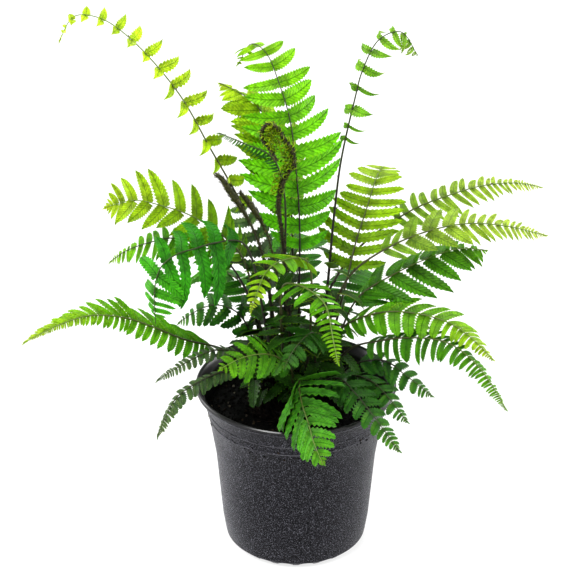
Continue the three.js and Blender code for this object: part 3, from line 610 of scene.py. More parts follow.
# %% The fronds at the sides
SIDES = [
    dict(name="frond_low_left", slot="leaf_green", leaf="sunny", shape="oblong", heading=190, bare=0.34,
         pairs=13, reach=19, fold=-6, roll=-25, fill=1.15, lean=0.6, uneven=(0.85, 1.0), wane=(0.9, 0),
         swing=(-0.35, 0.35),
         path=[(-19, -4, 100), (-30, -9, 132), (-48, -14, 147), (-70, -19, 156), (-89, -23, 167),
               (-107, -27, 176), (-128, -30, 179), (-147, -33, 174), (-169, -36, 163)]),
    dict(OLD, name="frond_rim_left", leaf="dusty", heading=212, bare=0.42, pairs=8, reach=8, fold=-15,
         roll=-20, fill=1.2, uneven=(1.0, 0.55),
         path=[(-12, -16, 100), (-28, -24, 132), (-46, -34, 141), (-60, -40, 138), (-74, -47, 131),
               (-80, -50, 122), (-87, -54, 106)]),
    dict(OLD, name="frond_small_left", leaf="dusty", heading=200, bare=0.5, pairs=7, reach=6, fold=-10,
         roll=-20, fill=1.0,
         path=[(-17, -10, 100), (-29, -18, 142), (-50, -27, 153), (-67, -34, 149), (-87, -39, 138)]),
    dict(name="frond_right_low", slot="leaf_green", leaf="glade", shape="oblong", heading=345, bare=0.36,
         pairs=12, reach=17, widest=0.25, fold=-20, roll=25, fill=0.98, curl=0.5, blunt=0.8,
         swing=(0.2, -0.45),
         path=[(12, -5, 100), (33, -11, 144), (53, -15, 153), (72, -22, 159), (91, -28, 160),
               (103, -32, 155), (114, -35, 145), (124, -38, 131), (132, -40, 117)]),
    dict(name="frond_right_bright", slot="leaf_green", leaf="sunny", shape="oblong", heading=348, bare=0.36,
         pairs=12, reach=22, widest=0.35, fold=-20, roll=25, fill=1.08, curl=0.45, swing=(0.3, -0.35),
         uneven=(1.1, 0.72),
         path=[(8, 0, 100), (26, -2, 152), (51, -8, 169), (75, -14, 172), (98, -22, 168), (115, -28, 156),
               (123, -31, 148)]),
    dict(name="frond_left_wide", slot="leaf_green", leaf="deep", shape="oblong", stalk="dark", heading=205,
         bare=0.57, pairs=9, reach=36, widest=0.2, fold=-10, roll=-35, fill=0.9, curl=0.6, lean=0.0,
         swing=(0.0, -0.5),
         path=[(-12, -8, 100), (-20, -9, 165), (-33, -12, 220), (-50, -22, 225), (-62, -30, 225),
               (-73, -36, 224), (-82, -41, 218), (-86, -45, 205), (-86, -48, 183)]),
    dict(name="frond_left_lime", slot="leaf_lime", leaf="yellowing", shape="long", heading=172, bare=0.5,
         pairs=10, reach=26, widest=0.55, fold=0, roll=-35, fill=1.15, blunt=2, lean=0.65, narrow=0.38,
         uneven=(0.72, 1.0),
         path=[(-16, 4, 100), (-25, 3, 165), (-35, 3, 205), (-49, 4, 220), (-67, 6, 231), (-83, 8, 236),
               (-101, 10, 239), (-120, 12, 233)]),
    dict(name="frond_left_behind", slot="leaf_dark", leaf="fresh", shape="long", stalk="dark", heading=172,
         bare=0.5, pairs=8, reach=18, fold=-8, roll=-25, fill=0.9,
         path=[(-19, 10, 100), (-30, 12, 170), (-52, 14, 203), (-77, 18, 209), (-93, 22, 204),
               (-109, 26, 196), (-120, 28, 187)]),
    dict(OLD, name="frond_left_small", heading=175, bare=0.42, pairs=7, reach=15, fold=-5, roll=-25,
         fill=0.85, slim=0.6,
         path=[(-22, 3, 100), (-27, 4, 140), (-37, 5, 162), (-51, 7, 167), (-63, 9, 162), (-76, 10, 152)]),
    dict(name="frond_right_upper_lime", slot="leaf_lime", leaf="spring", shape="oblong", heading=70,
         bare=0.42, pairs=12, reach=27, widest=0.15, fold=4, fill=0.92, curl=0.15, lean=0.2, blunt=1.6,
         crowd=0.9, slim=0.5,
         path=[(13, 13, 100), (24, 16, 141), (33, 24, 178), (39, 38, 198), (46, 56, 212), (52, 78, 221),
               (57, 100, 221), (61, 124, 212)]),
    dict(name="frond_right_far", slot="leaf_green", leaf="pale", shape="long", heading=25, bare=0.55,
         pairs=9, reach=18, fold=-5, roll=20, fill=0.88, curl=0.5, lean=0.5, blunt=0.8,
         path=[(6, 13, 100), (17, 28, 155), (39, 46, 186), (75, 69, 204), (100, 78, 211), (125, 86, 215),
               (149, 92, 214), (165, 96, 209)]),
    dict(name="frond_right_lime", slot="leaf_lime", leaf="pale", shape="long", heading=12, bare=0.5,
         pairs=10, reach=21, fold=-5, roll=25, fill=0.85, lean=0.9, blunt=0.8,
         path=[(13, 4, 100), (21, 5, 155), (34, 7, 188), (52, 9, 203), (78, 14, 214), (106, 22, 217),
               (132, 28, 213), (161, 34, 203)]),
    dict(name="frond_right_deep", slot="leaf_dark", leaf="glade", shape="long", heading=15, bare=0.4,
         pairs=9, reach=30, widest=0.35, fold=-15, roll=15, fill=1.0, curl=0.5, lean=0.8,
         path=[(19, 2, 100), (28, 6, 145), (40, 12, 170), (62, 18, 183), (84, 25, 191), (104, 33, 194),
               (124, 41, 189)]),
    dict(name="frond_thin_left", slot="leaf_dark", leaf="old", shape="long", stalk="dark", heading=165,
         bare=0.76, pairs=7, reach=6, fold=-25, roll=-10, fill=0.8,
         path=[(-8, 13, 100), (-7, 13, 196), (-8, 11, 246), (-15, 10, 268), (-32, 13, 276), (-48, 18, 281)]),
    dict(OLD, name="frond_behind_left", leaf="dusty", heading=125, bare=0.5, pairs=7, reach=17, fold=-5,
         fill=0.9,
         path=[(-14, 12, 100), (-17, 17, 165), (-22, 22, 197), (-30, 28, 216), (-40, 36, 232)]),
]
print(len(SIDES), "fronds at the sides")

# %% The fronds away from the camera
BACK = [
    dict(name="frond_back_" + side, slot="leaf_green", leaf="grown", shape="long", heading=heading, bare=0.35,
         pairs=8, reach=reach, fold=-12, fill=0.95, path=path)
    for side, heading, reach, path in (
        ("right", 62, 22,
         [(12, 19, 100), (20, 36, 134), (30, 60, 150), (40, 84, 152), (49, 106, 142), (55, 122, 124)]),
        ("middle", 95, 24,
         [(2, 21, 100), (2, 40, 150), (0, 66, 172), (-3, 92, 176), (-7, 118, 166), (-10, 136, 148)]),
        ("left", 128, 22,
         [(-9, 20, 100), (-19, 34, 134), (-34, 54, 156), (-50, 74, 158), (-65, 93, 148), (-74, 105, 130)]))
]
FRONDS = [USUAL | frond for frond in TALL + FRONT + SIDES + BACK]
print(len(FRONDS), "fronds in all")

# %% [markdown]
# ### A smooth path with even steps
# A few points per frond are enough, if a curve passes smoothly through them. A centripetal Catmull-Rom
# spline never loops back between two points, which suits a stalk. Shares of the path are measured along
# its length, so that leaflets are evenly spaced where they should be.

# %% Following a path
PATH_STEPS = 200
NUDGE = 1e-4


def smooth_path(points):
    """A function from a share of the length to (place, direction) on a smooth curve, and the length."""
    knots = [Vector(p) for p in points]
    knots = [2 * knots[0] - knots[1], *knots, 2 * knots[-1] - knots[-2]]
    spans = len(points) - 1

    def place(t):
        span = min(int(t * spans), spans - 1)
        local = t * spans - span
        p0, p1, p2, p3 = knots[span:span + 4]
        d0, d1, d2 = ((b - a).length ** 0.5 for a, b in ((p0, p1), (p1, p2), (p2, p3)))
        leave = ((p1 - p0) / d0 - (p2 - p0) / (d0 + d1) + (p2 - p1) / d1) * d1
        arrive = ((p2 - p1) / d1 - (p3 - p1) / (d1 + d2) + (p3 - p2) / d2) * d1
        square, cube = local ** 2, local ** 3
        return (p1 + leave * local + (3 * (p2 - p1) - 2 * leave - arrive) * square
                + (2 * (p1 - p2) + leave + arrive) * cube)

    marks = [place(k / PATH_STEPS) for k in range(PATH_STEPS + 1)]
    lengths = [0.0]
    for a, b in zip(marks, marks[1:]):
        lengths.append(lengths[-1] + (b - a).length)

    def at(share):
        target = share * lengths[-1]
        k = 0
        while k < PATH_STEPS - 1 and lengths[k + 1] < target:
            k += 1
        t = (k + (target - lengths[k]) / (lengths[k + 1] - lengths[k])) / PATH_STEPS
        t = min(max(t, 0.0), 1.0)
        before, after = max(t - NUDGE, 0.0), min(t + NUDGE, 1.0)
        return place(t), (place(after) - place(before)).normalized()

    return at, lengths[-1]


def cross_section(at, share, heading=0, roll=0):
    """Centre, direction, side and up of a stalk at a share of its path."""
    centre, along = at(share)
    turn = math.radians(heading)
    side = Vector((-math.sin(turn), math.cos(turn), 0))
    side = (side - along * side.dot(along)).normalized()
    side.rotate(Matrix.Rotation(math.radians(roll), 3, along))
    return centre, along, side, along.cross(side)


# %% [markdown]
# ### Where the leaflets sit
# Pairs crowd towards the tip, and their length falls off on both sides of the widest place. In a real plant
# no leaf grows through another: it bends aside. The plain solids already found a free place for each
# leaflet, so the finer one looks up which bend its plain twin took, by testing where the twin's tip is.

# %% Leaflet places
RIB_HALF_WIDTH = 0.9
PLAIN_THICKNESS = 0.8
BENDS = (0, 10, -10, 20, -20, 32, -32, 45, -45, 60, -60)
LENGTHS = (1, 0.85, 0.7, 0.55, 0.4, 0.25)
FOOT_LOSS, END_LOSS = 0.45, 0.93
TIP_OUT, TIP_DROP = 0.97, 0.14
SAME_PLACE = 0.1


def leaflet_length(frond, along):
    """The length of a leaflet at a share of the blade, in mm."""
    widest = frond["widest"]
    if along < widest:
        loss = FOOT_LOSS * ((widest - along) / widest) ** 2
    else:
        loss = END_LOSS * ((along - widest) / (1 - widest)) ** frond["blunt"]
    return frond["reach"] * (1 - loss)


def blade_section(frond, at, pair):
    """The cross-section of the rachis where a pair sits."""
    share = frond["bare"] + (1 - frond["bare"]) * (1 - (1 - pair / frond["pairs"]) ** frond["crowd"])
    return cross_section(at, share, frond["heading"], frond["roll"])


def leaflet_axes(section, across, degrees):
    """Outward and raised directions of a leaflet on one side of the rachis."""
    side, up = section[2], section[3]
    angle = math.radians(degrees)
    return (side * (across * math.cos(angle)) + up * math.sin(angle),
            up * math.cos(angle) - side * (across * math.sin(angle)))


def plain_leaflets(frond, at):
    """For each pair and side: its near and next stations, and the bend and length of its plain twin."""
    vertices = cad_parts[frond["name"]].data.vertices
    tree = kdtree.KDTree(len(vertices))
    for k, vertex in enumerate(vertices):
        tree.insert(vertex.co / MM, k)
    tree.balance()
    found, misses = [], 0
    for pair in range(frond["pairs"]):
        near, far, after = (blade_section(frond, at, pair + step) for step in (0, frond["cover"], 1))
        root, ahead = (near[0] + far[0]) / 2, (far[0] - near[0]).normalized()
        full = leaflet_length(frond, (pair + 0.5) / frond["pairs"])
        for across in (1, -1):
            tries = []
            for shorter in LENGTHS:
                length = full * shorter
                for bend in BENDS:
                    out, up = leaflet_axes(near, across, frond["fold"] + bend)
                    tip = (root + up * (PLAIN_THICKNESS / 2 - TIP_DROP * length)
                           + ahead * (frond["lean"] * length) + out * (RIB_HALF_WIDTH + TIP_OUT * length))
                    tries.append((tree.find(tip)[2], bend, shorter))
            gap, bend, shorter = min(tries, key=lambda one: one[0])
            if gap >= SAME_PLACE:
                bend, shorter = 0, 1
                misses += 1
            found.append(dict(pair=pair, across=across, near=near, after=after, bend=bend, shorter=shorter))
    if misses:
        print(frond["name"], "has", misses, "leaflets whose plain twin was not found")
    return found


# %% [markdown]
# ### One leaflet
# Leaflets are repeated hundreds of times, so the shape has to be cheap: two rows of teeth along a midrib,
# a top skin, an under skin and a rim. The teeth point forward, as on the real plant. The shape is one
# metre long and wide; the tree scales it. Its UV map runs along the leaflet and across it, which is what
# the veins are painted on. "u" is the same length again, kept as an attribute for bending.

# %% Leaflet outlines
# teeth: pairs of teeth. depth: how deep they cut. lean: how far they point forward, as a share of one tooth.
# width: the outline's half width at places along the leaflet.
LEAFLET_SHAPES = {
    "oblong": dict(teeth=9, depth=0.26, lean=0.7, width=[
        (0, 0.42), (0.06, 0.48), (0.25, 0.5), (0.6, 0.48), (0.8, 0.39), (0.92, 0.24), (1, 0)]),
    "lance": dict(teeth=9, depth=0.3, lean=0.7, width=[
        (0, 0.28), (0.06, 0.42), (0.2, 0.52), (0.42, 0.46), (0.62, 0.33), (0.78, 0.18), (0.9, 0.07), (1, 0)]),
    "long": dict(teeth=12, depth=0.25, lean=0.72, width=[
        (0, 0.36), (0.05, 0.46), (0.2, 0.52), (0.42, 0.5), (0.62, 0.44), (0.8, 0.31), (0.92, 0.15), (1, 0)]),
    "broad": dict(teeth=6, depth=0.34, lean=0.55, width=[
        (0, 0.34), (0.06, 0.46), (0.25, 0.53), (0.5, 0.52), (0.7, 0.47), (0.85, 0.38), (0.94, 0.25), (1, 0)]),
}
LEAF_THICKNESS = 0.016
MIDRIB_SINK, MIDRIB_STEEPNESS = 0.030, 6
CROWNING = 0.022


def outline_width(stops, u):
    """The outline's half width at a share of the leaflet's length."""
    for (u0, w0), (u1, w1) in zip(stops, stops[1:]):
        if u <= u1:
            return w0 + (w1 - w0) * ((u - u0) / (u1 - u0))
    return 0.0


# %% Leaflet shapes
def leaflet_shape(name, teeth, depth, lean, width):
    """A closed toothed leaflet from (0, 0) to (1, 0), one unit wide, with its face up."""
    shape = bmesh.new()
    uv = shape.loops.layers.uv.new("UVMap")
    along = shape.verts.layers.float.new("u")
    under = shape.verts.layers.float.new("under")

    def corner(u, v, lower):
        arch = CROWNING * math.sin(math.pi * min(1, abs(v) * 2))
        arch -= MIDRIB_SINK * (1 - min(1, abs(v) * MIDRIB_STEEPNESS))
        vertex = shape.verts.new((u, v, arch - (LEAF_THICKNESS if lower else 0)))
        vertex[along] = u
        vertex[under] = 1.0 if lower else 0.0
        return vertex

    def add_face(corners, turned):
        shape.faces.new(list(dict.fromkeys(corners[::-1] if turned else corners)))

    stations = [k / teeth for k in range(teeth + 1)]
    skins = []
    for lower in (False, True):
        rib = [corner(u, 0, lower) for u in stations]
        edges = {}
        for sign in (1, -1):
            edge = []
            for k, u in enumerate(stations[:-1]):
                notch = outline_width(width, u) * (1 - depth * (k > 0))
                point = u + lean / teeth
                edge.append(corner(u, sign * notch, lower))
                edge.append(corner(point, sign * outline_width(width, point), lower))
            edges[sign] = edge + [rib[-1]]
        skins.append((rib, edges))
        for sign, edge in edges.items():
            for k in range(teeth):
                add_face([rib[k], rib[k + 1], *edge[2 * k:2 * k + 3][::-1]], (sign > 0) == lower)
    (rib_top, top), (rib_low, low) = skins
    for sign in (1, -1):
        for k in range(len(top[sign]) - 1):
            add_face([top[sign][k], top[sign][k + 1], low[sign][k + 1], low[sign][k]], sign < 0)
        add_face([rib_top[0], top[sign][0], low[sign][0], rib_low[0]], sign < 0)
    for face in shape.faces:
        face.smooth = True
        for loop in face.loops:
            loop[uv].uv = (loop.vert.co.x, loop.vert.co.y + 0.5)
    for edge in shape.edges:
        flat = [len({vertex[under] for vertex in face.verts}) == 1 for face in edge.link_faces]
        if len({vertex[under] for face in edge.link_faces for vertex in face.verts}) == 2:
            edge.smooth = not any(flat) or all(flat)
    return link(name, finished_mesh(shape, name, smooth=False))


leaflet_shapes = {name: leaflet_shape("leaflet_" + name, **shape) for name, shape in LEAFLET_SHAPES.items()}
print({name: len(shape.data.polygons) for name, shape in leaflet_shapes.items()}, "faces")

# %% [markdown]
# ### The tree that grows a frond
# The frond's input is a skeleton: a chain of vertices for the stalk, and one loose vertex for each leaflet,
# with its directions, size and bend kept as attributes. The tree turns the chain into a tapering tube and
# stands a leaflet on each loose vertex. Once the instances are real mesh, each leaflet is rolled along an
# arc by its "curl" and swept towards the frond's tip, which no instance could do.

# %% Helpers for directions
def scaled(tree, vector, amount):
    """A vector, or a colour, times a number."""
    return add_node(tree, "ShaderNodeVectorMath", {0: vector, "Scale": amount}, operation="SCALE").outputs[0]


def summed(tree, total, *others):
    """The sum of vectors."""
    for other in others:
        total = add_node(tree, "ShaderNodeVectorMath", {0: total, 1: other}, operation="ADD").outputs[0]
    return total


def facing(tree, ahead, up):
    """The turn that points a copy's X axis ahead and its Z axis up."""
    return add_node(tree, "FunctionNodeAxesToRotation", {0: ahead, 1: up},
                    primary_axis="X", secondary_axis="Z").outputs[0]


# %% Growing the frond
def frond_tree():
    tree, given = new_tree("grow_frond", {
        "Leaflet": "Object", "Sweep": "Float", "Twist": "Float", "Stalk sides": "Int", "Seed": "Int",
        "Leaf": "Material", "Stalk": "Material"})
    parts = add_node(tree, "GeometryNodeSeparateGeometry",
                     {"Geometry": given["Geometry"], "Selection": named(tree, "is_leaflet", "BOOLEAN")})
    # leaflets
    out, up, ahead, size = (named(tree, name, "FLOAT_VECTOR") for name in ("out", "up", "ahead", "size"))
    twist = random_number(tree, times(tree, given["Twist"], -1.0), given["Twist"], given["Seed"])
    twist = add_node(tree, "ShaderNodeCombineXYZ", {0: twist})
    turned = add_node(tree, "FunctionNodeRotateRotation", {0: facing(tree, out, up), 1: twist.outputs[0]},
                      rotation_space="LOCAL")
    leaves = copies_on(tree, parts.outputs["Selection"], given["Leaflet"], turned.outputs[0], size)
    # the bend: a point at u on a straight leaflet moves to where an arc of the same length puts it
    u, curl = named(tree, "u"), named(tree, "curl")
    length = add_node(tree, "ShaderNodeSeparateXYZ", {0: size}).outputs["X"]
    turn = times(tree, u, curl)
    forth = compute(tree, "SUBTRACT", compute(tree, "DIVIDE", compute(tree, "SINE", turn), curl), u)
    fall = compute(tree, "DIVIDE", compute(tree, "SUBTRACT", compute(tree, "COSINE", turn), 1.0), curl)
    sweep = times(tree, times(tree, length, given["Sweep"]), compute(tree, "POWER", u, 2.0))
    move = summed(tree, scaled(tree, out, times(tree, length, forth)),
                  scaled(tree, up, times(tree, length, fall)), scaled(tree, ahead, sweep))
    bent = add_node(tree, "GeometryNodeSetPosition", {"Geometry": realize(tree, leaves), "Offset": move})
    # stalk
    chain = add_node(tree, "GeometryNodeMeshToCurve", {0: parts.outputs["Inverted"]})
    circle = add_node(tree, "GeometryNodeCurvePrimitiveCircle",
                      {"Resolution": given["Stalk sides"], "Radius": 1.0})
    tube = add_node(tree, "GeometryNodeCurveToMesh",
                    {"Curve": chain.outputs[0], "Profile Curve": circle.outputs[0],
                     "Scale": named(tree, "radius"), "Fill Caps": True})
    smooth = add_node(tree, "GeometryNodeSetShadeSmooth", {0: tube.outputs[0]})
    whole = joined(tree, made_of(tree, given["Leaf"], bent.outputs[0]),
                   made_of(tree, given["Stalk"], smooth.outputs[0]))
    add_node(tree, "NodeGroupOutput", {0: whole})
    return tree


# %% [markdown]
# ### Scales
# The stalks of a shield fern are shaggy with narrow brown scales, densest at the foot. They are scattered
# on the finished tube: "scaly" is how dense they stand at a place and is nothing on the leaflets, "along"
# is the way that the stalk grows. Each scale leans from the surface towards that way.

# %% The scale and its tree
SCALE_ENDS = ((0, 0, 0), (1, 0, 0.18))
SCALE_WAIST = ((0.35, 0.16, 0.02), (0.35, 0, 0.09), (0.35, -0.16, 0.02), (0.35, 0, -0.01))
STRAY = 0.45


def scale_shape(name):
    shape = bmesh.new()
    foot, tip = (shape.verts.new(p) for p in SCALE_ENDS)
    waist = [shape.verts.new(p) for p in SCALE_WAIST]
    for here, after in zip(waist, waist[1:] + waist[:1]):
        shape.faces.new((foot, here, after))
        shape.faces.new((tip, after, here))
    return link(name, finished_mesh(shape, name, smooth=False))


def scale_tree():
    tree, given = new_tree("grow_scales", {
        "Scale": "Object", "Scales per square metre": "Float", "Shortest": "Float", "Longest": "Float",
        "Lean": "Float", "Seed": "Int", "Chaff": "Material"})
    density = times(tree, named(tree, "scaly"), given["Scales per square metre"])
    points = add_node(tree, "GeometryNodeDistributePointsOnFaces",
                      {"Mesh": given["Geometry"], "Density": density, "Seed": given["Seed"]}).outputs
    aim = summed(tree, named(tree, "along", "FLOAT_VECTOR"), scaled(tree, points["Normal"], given["Lean"]),
                 random_vector(tree, -STRAY, STRAY, given["Seed"]))
    scales = copies_on(tree, points["Points"], given["Scale"], facing(tree, aim, points["Normal"]),
                       random_number(tree, given["Shortest"], given["Longest"], given["Seed"]))
    brown = made_of(tree, given["Chaff"], realize(tree, scales))
    add_node(tree, "NodeGroupOutput", {0: joined(tree, brown, given["Geometry"])})
    return tree


scale = scale_shape("scale_shape")
grow_frond, grow_scales = frond_tree(), scale_tree()
for tree in (grow_frond, grow_scales):
    print(tree.name, "has", len(tree.nodes), "nodes")

# %% [markdown]
# ## Leaf, stalk and scale finishes
# A fern leaflet is a thin, waxy, slightly see-through blade with a sunken midrib and slanting side veins. Its
# green changes with age: young fronds are yellow-green, old ones dark and dull. One recipe takes the
# colours, and paints the veins from the UV map. The foot of each leaflet is painted darker, a painted shade
# where little light gets in between the rows, and its margin is painted paler, a painted highlight. Gloss
# comes from the wax: an IOR near 1.45 and a roughness of about 0.4. "ripe" is 0 at the foot of the blade
# and 1 at its tip, and exactly 0 on the old leaflets deep inside the plant, whose green is darkened by
# painted shade.

# %% Leaf colours
# the old leaflets inside the plant: a dark green that is partly their age and partly painted shade
INNER_SHADED_GREEN = "#2c5212"
LEAF_FINISHES = {
    # name: colours at the blade's base, middle and tip, and of the midribs
    "lime": ("#98bc12", "#aecb1e", "#bddb34", "#52761a"),
    "bright": ("#58aa0a", "#70b80c", "#94c420", "#2f6308"),
    "spring": ("#70980c", "#8cb012", "#a4c420", "#486c0c"),
    "silver": ("#6fa028", "#7ba830", "#87ac40", "#44662a"),
    "yellowing": ("#5f8c10", "#86a812", "#a0bc1c", "#48681c"),
    "fresh": ("#437c0c", "#5c9a10", "#7ab01a", "#2c5a0c"),
    "sunny": ("#468010", "#68a012", "#a4c428", "#305c0c"),
    "pale": ("#6f9028", "#94ae38", "#b0c458", "#50722a"),
    "deep": ("#2a7410", "#388c12", "#52a41e", "#184c0a"),
    "glade": ("#386c10", "#4c8414", "#649c1c", "#24500a"),
    "grown": ("#346a1c", "#448220", "#5a9a26", "#1e4a10"),
    "old": ("#27501a", "#33621f", "#437628", "#173410"),
    "dusty": ("#3a4a33", "#4c5f40", "#5c7050", "#283522"),
}

# %% Leaf material
SIDE_VEINS, VEIN_SLANT = 10.0, 2.2


def fern_leaf(name, base, middle, tip, midrib):
    """A waxy leaflet with veins, from the colours of one row of the table."""
    material, tree, shader = new_material("fern_leaf_" + name)

    def between(value, low, high, to_low=0.0, to_high=1.0):
        return remap(tree, value, low, high, to_low, to_high, "SMOOTHSTEP")

    place = object_place(tree)
    blotches = noise_at(tree, place, scale=220, detail=5, roughness=0.75)
    cells = noise_at(tree, place, scale=1300, detail=2)
    uv = add_node(tree, "ShaderNodeTexCoord").outputs["UV"]
    uv = add_node(tree, "ShaderNodeSeparateXYZ", {0: uv}).outputs
    out = times(tree, compute(tree, "ABSOLUTE", compute(tree, "SUBTRACT", uv["Y"], 0.5)), 2.0)
    # side veins slant towards the leaflet's tip and fade at the margin
    slant = compute(tree, "SUBTRACT", times(tree, uv["X"], SIDE_VEINS), times(tree, out, VEIN_SLANT))
    vein = compute(tree, "ABSOLUTE", compute(tree, "SUBTRACT", compute(tree, "FRACT", slant), 0.5))
    vein = times(tree, between(vein, 0.0, 0.22, 1.0, 0.0), between(out, 1.0, 0.6))
    rib = between(out, 0.08, 0.02)
    # each leaflet, and each blotch on it, is a little lighter or darker than the blade; the old leaflets
    # inside the plant are made darker still, a painted shade
    lightness = compute(tree, "ADD", times(tree, attribute(tree, "tint"), 0.35),
                        between(blotches, 0.3, 0.7, 0.45, 1.25))
    # painted shade: each leaflet is darker at its foot, by the rachis, and a little lighter towards its end
    lightness = times(tree, lightness, between(uv["X"], 0.0, 0.45, 0.62, 1.08))
    # ripe 0, the old leaflets inside the plant, starts from that dark green of age and painted shade
    colour = add_ramp(tree, attribute(tree, "ripe"), [
        (0.0, INNER_SHADED_GREEN), (0.03, base), (0.5, middle), (0.95, tip)])
    colour = scaled(tree, colour, lightness)
    # the veins and midrib take the midrib colour, the underside a paler one, and the margin a painted
    # highlight in the tip colour
    for where, amount, paint in ((vein, 0.42, midrib), (between(out, 0.74, 0.98), 0.6, tip),
                                 (rib, 0.55, midrib), (attribute(tree, "under"), 0.4, tip)):
        colour = mix_colours(tree, times(tree, where, amount), colour, to_linear(paint))
    height = compute(tree, "SUBTRACT", times(tree, cells, 0.3),
                     compute(tree, "ADD", times(tree, vein, 0.6), rib))
    set_sockets(tree, shader, {
        "Base Color": colour, "Roughness": between(blotches, 0.3, 0.7, 0.34, 0.5), "IOR": 1.45,
        "Specular IOR Level": 0.2, "Subsurface Weight": 0.2, "Subsurface Radius": (0.5, 1.0, 0.15),
        "Subsurface Scale": 1.2 * MM, "Normal": relief(tree, height, strength=0.7, depth=0.6 * MM)})
    return material


leaf_materials = {name: fern_leaf(name, *colours) for name, colours in LEAF_FINISHES.items()}
print(len(leaf_materials), "greens")

# %% [markdown]
# ### Stalks and scales
# The stalk is woody and brown-black at its foot, and turns olive or stays dark along the blade: "ripe"
# runs from 0 at the foot to 1 at the tip. The scales are dry, papery chaff, rougher and a warmer brown.

# %% Stalk and scale materials
def fern_stalk(name, foot, middle, tip):
    material, tree, shader = new_material("fern_stalk_" + name)
    streaks = noise_at(tree, object_place(tree), scale=420, detail=4, roughness=0.7)
    along = compute(tree, "ADD", attribute(tree, "ripe"), -0.12)
    along = compute(tree, "MULTIPLY_ADD", streaks, 0.24, along)
    set_sockets(tree, shader, {
        "Base Color": add_ramp(tree, along, [(0.15, foot), (0.5, middle), (0.95, tip)]),
        "Roughness": 0.5, "Normal": relief(tree, streaks, strength=0.5, depth=0.4 * MM)})
    return material


def fern_scales(name, dark, middle, pale):
    material, tree, shader = new_material("fern_scales_" + name)
    grain = noise_at(tree, object_place(tree), scale=700, detail=3)
    set_sockets(tree, shader, {
        "Base Color": add_ramp(tree, grain, [(0.38, dark), (0.52, middle), (0.66, pale)]), "Roughness": 0.8})
    return material


stalk_materials = {"olive": fern_stalk("olive", "#150e08", "#3f4119", "#6f8c34"),
                   "dark": fern_stalk("dark", "#100a06", "#201c0e", "#3b4f1c")}
chaff = fern_scales("dry", "#0a0604", "#1c120a", "#3d2b19")
young_chaff = fern_scales("young", "#0a0803", "#2a2510", "#857f3a")

# %% [markdown]
# ### The skeleton of a frond
# The stalk's vertices carry its radius, and the leaflets' vertices carry their directions. A real leaflet
# keeps its slim shape however far apart the pairs stand, so where the plain leaflet is too wide for its
# length, it becomes a few narrow ones, as in the finely cut end of the blade. The last ones get shorter in
# an even taper, and one more closes the tip. Old leaflets stand round the bare stalks, low in the plant, and
# fill its centre as they do on the real one; they are dark with age and darker still with painted shade.
# Every leaflet is turned and sized a little differently, by a draw with a fixed seed.

# %% Rows of a skeleton
ROW_FIELDS = {"FLOAT_VECTOR": ("out", "up", "ahead", "size", "along"),
              "FLOAT": ("radius", "ripe", "scaly", "curl", "tint"), "BOOLEAN": ("is_leaflet",)}


def add_attribute(mesh, name, kind, values):
    """Gives a mesh a named value or vector for each vertex."""
    field = "vector" if kind == "FLOAT_VECTOR" else "value"
    flat = [c for value in values for c in value] if kind == "FLOAT_VECTOR" else values
    mesh.attributes.new(name, kind, "POINT").data.foreach_set(field, flat)


def stalk_row(place, radius, ripe, scaly, along):
    """A vertex of the stalk, in mm; what only a leaflet needs is filled in and not used."""
    return dict(place=place * MM, is_leaflet=False, radius=radius * MM, ripe=ripe, scaly=scaly, along=along,
                out=(1, 0, 0), up=(0, 0, 1), ahead=(0, 1, 0), size=(1, 1, 1), curl=0.1, tint=0)


def leaflet_row(place, out, up, ahead, length, width, ripe, curl, tint):
    """A loose vertex for one leaflet, in mm: it points out, faces up and bends ahead, towards the tip."""
    return dict(place=place * MM, is_leaflet=True, radius=0, ripe=ripe, scaly=0, along=(0, 0, 1), out=out,
                up=(up - out * up.dot(out)).normalized(), ahead=ahead,
                size=(length * MM, width * MM, length * MM), curl=curl, tint=tint)


def skeleton_mesh(name, rows):
    """Rows of stalk vertices, joined in a chain, and then of leaflet vertices, which stay loose."""
    chain = sum(not row["is_leaflet"] for row in rows)
    mesh = bpy.data.meshes.new(name)
    mesh.from_pydata([row["place"] for row in rows], [(k, k + 1) for k in range(chain - 1)], [])
    for kind, fields in ROW_FIELDS.items():
        for field in fields:
            add_attribute(mesh, field, kind, [row[field] for row in rows])
    return mesh


# %% Stalks
STIPE_RADIUS, BLADE_RADIUS, TIP_RADIUS = 1.15, 0.6, 0.22
STALK_STEP, FEWEST_STEPS = 2.5, 12
SCALY_SHARE, LEAST_SCALY = 1.2, 0.05


def stalk_rows(at, length, bare):
    """The stalk: it tapers to the blade and then to the tip, and its scales get fewer."""
    steps = max(FEWEST_STEPS, round(length / STALK_STEP))
    rows = []
    for share in (k / steps for k in range(steps + 1)):
        if share < bare:
            radius = STIPE_RADIUS + (BLADE_RADIUS - STIPE_RADIUS) * share / bare
        else:
            radius = BLADE_RADIUS + (TIP_RADIUS - BLADE_RADIUS) * (share - bare) / (1 - bare)
        scaly = max(LEAST_SCALY, 1 - share / (bare * SCALY_SHARE))
        centre, along = at(share)
        rows.append(stalk_row(centre, radius, share, scaly, along))
    return rows


# %% Leaflets of the blade
MOST_PARTS = 7
LEAN_SHARE = 0.55
TAPER, TAPER_END = 6, 1.03
# how far one leaflet may differ from the next, in degrees, in lean and as shares of its size and curl
FOLD_SPREAD, LEAN_SPREAD = (-8, 8), (-0.12, 0.12)
REACH_SPREAD, WIDTH_SPREAD, CURL_SPREAD = (0.88, 1.08), (0.8, 0.98), (0.6, 1.4)


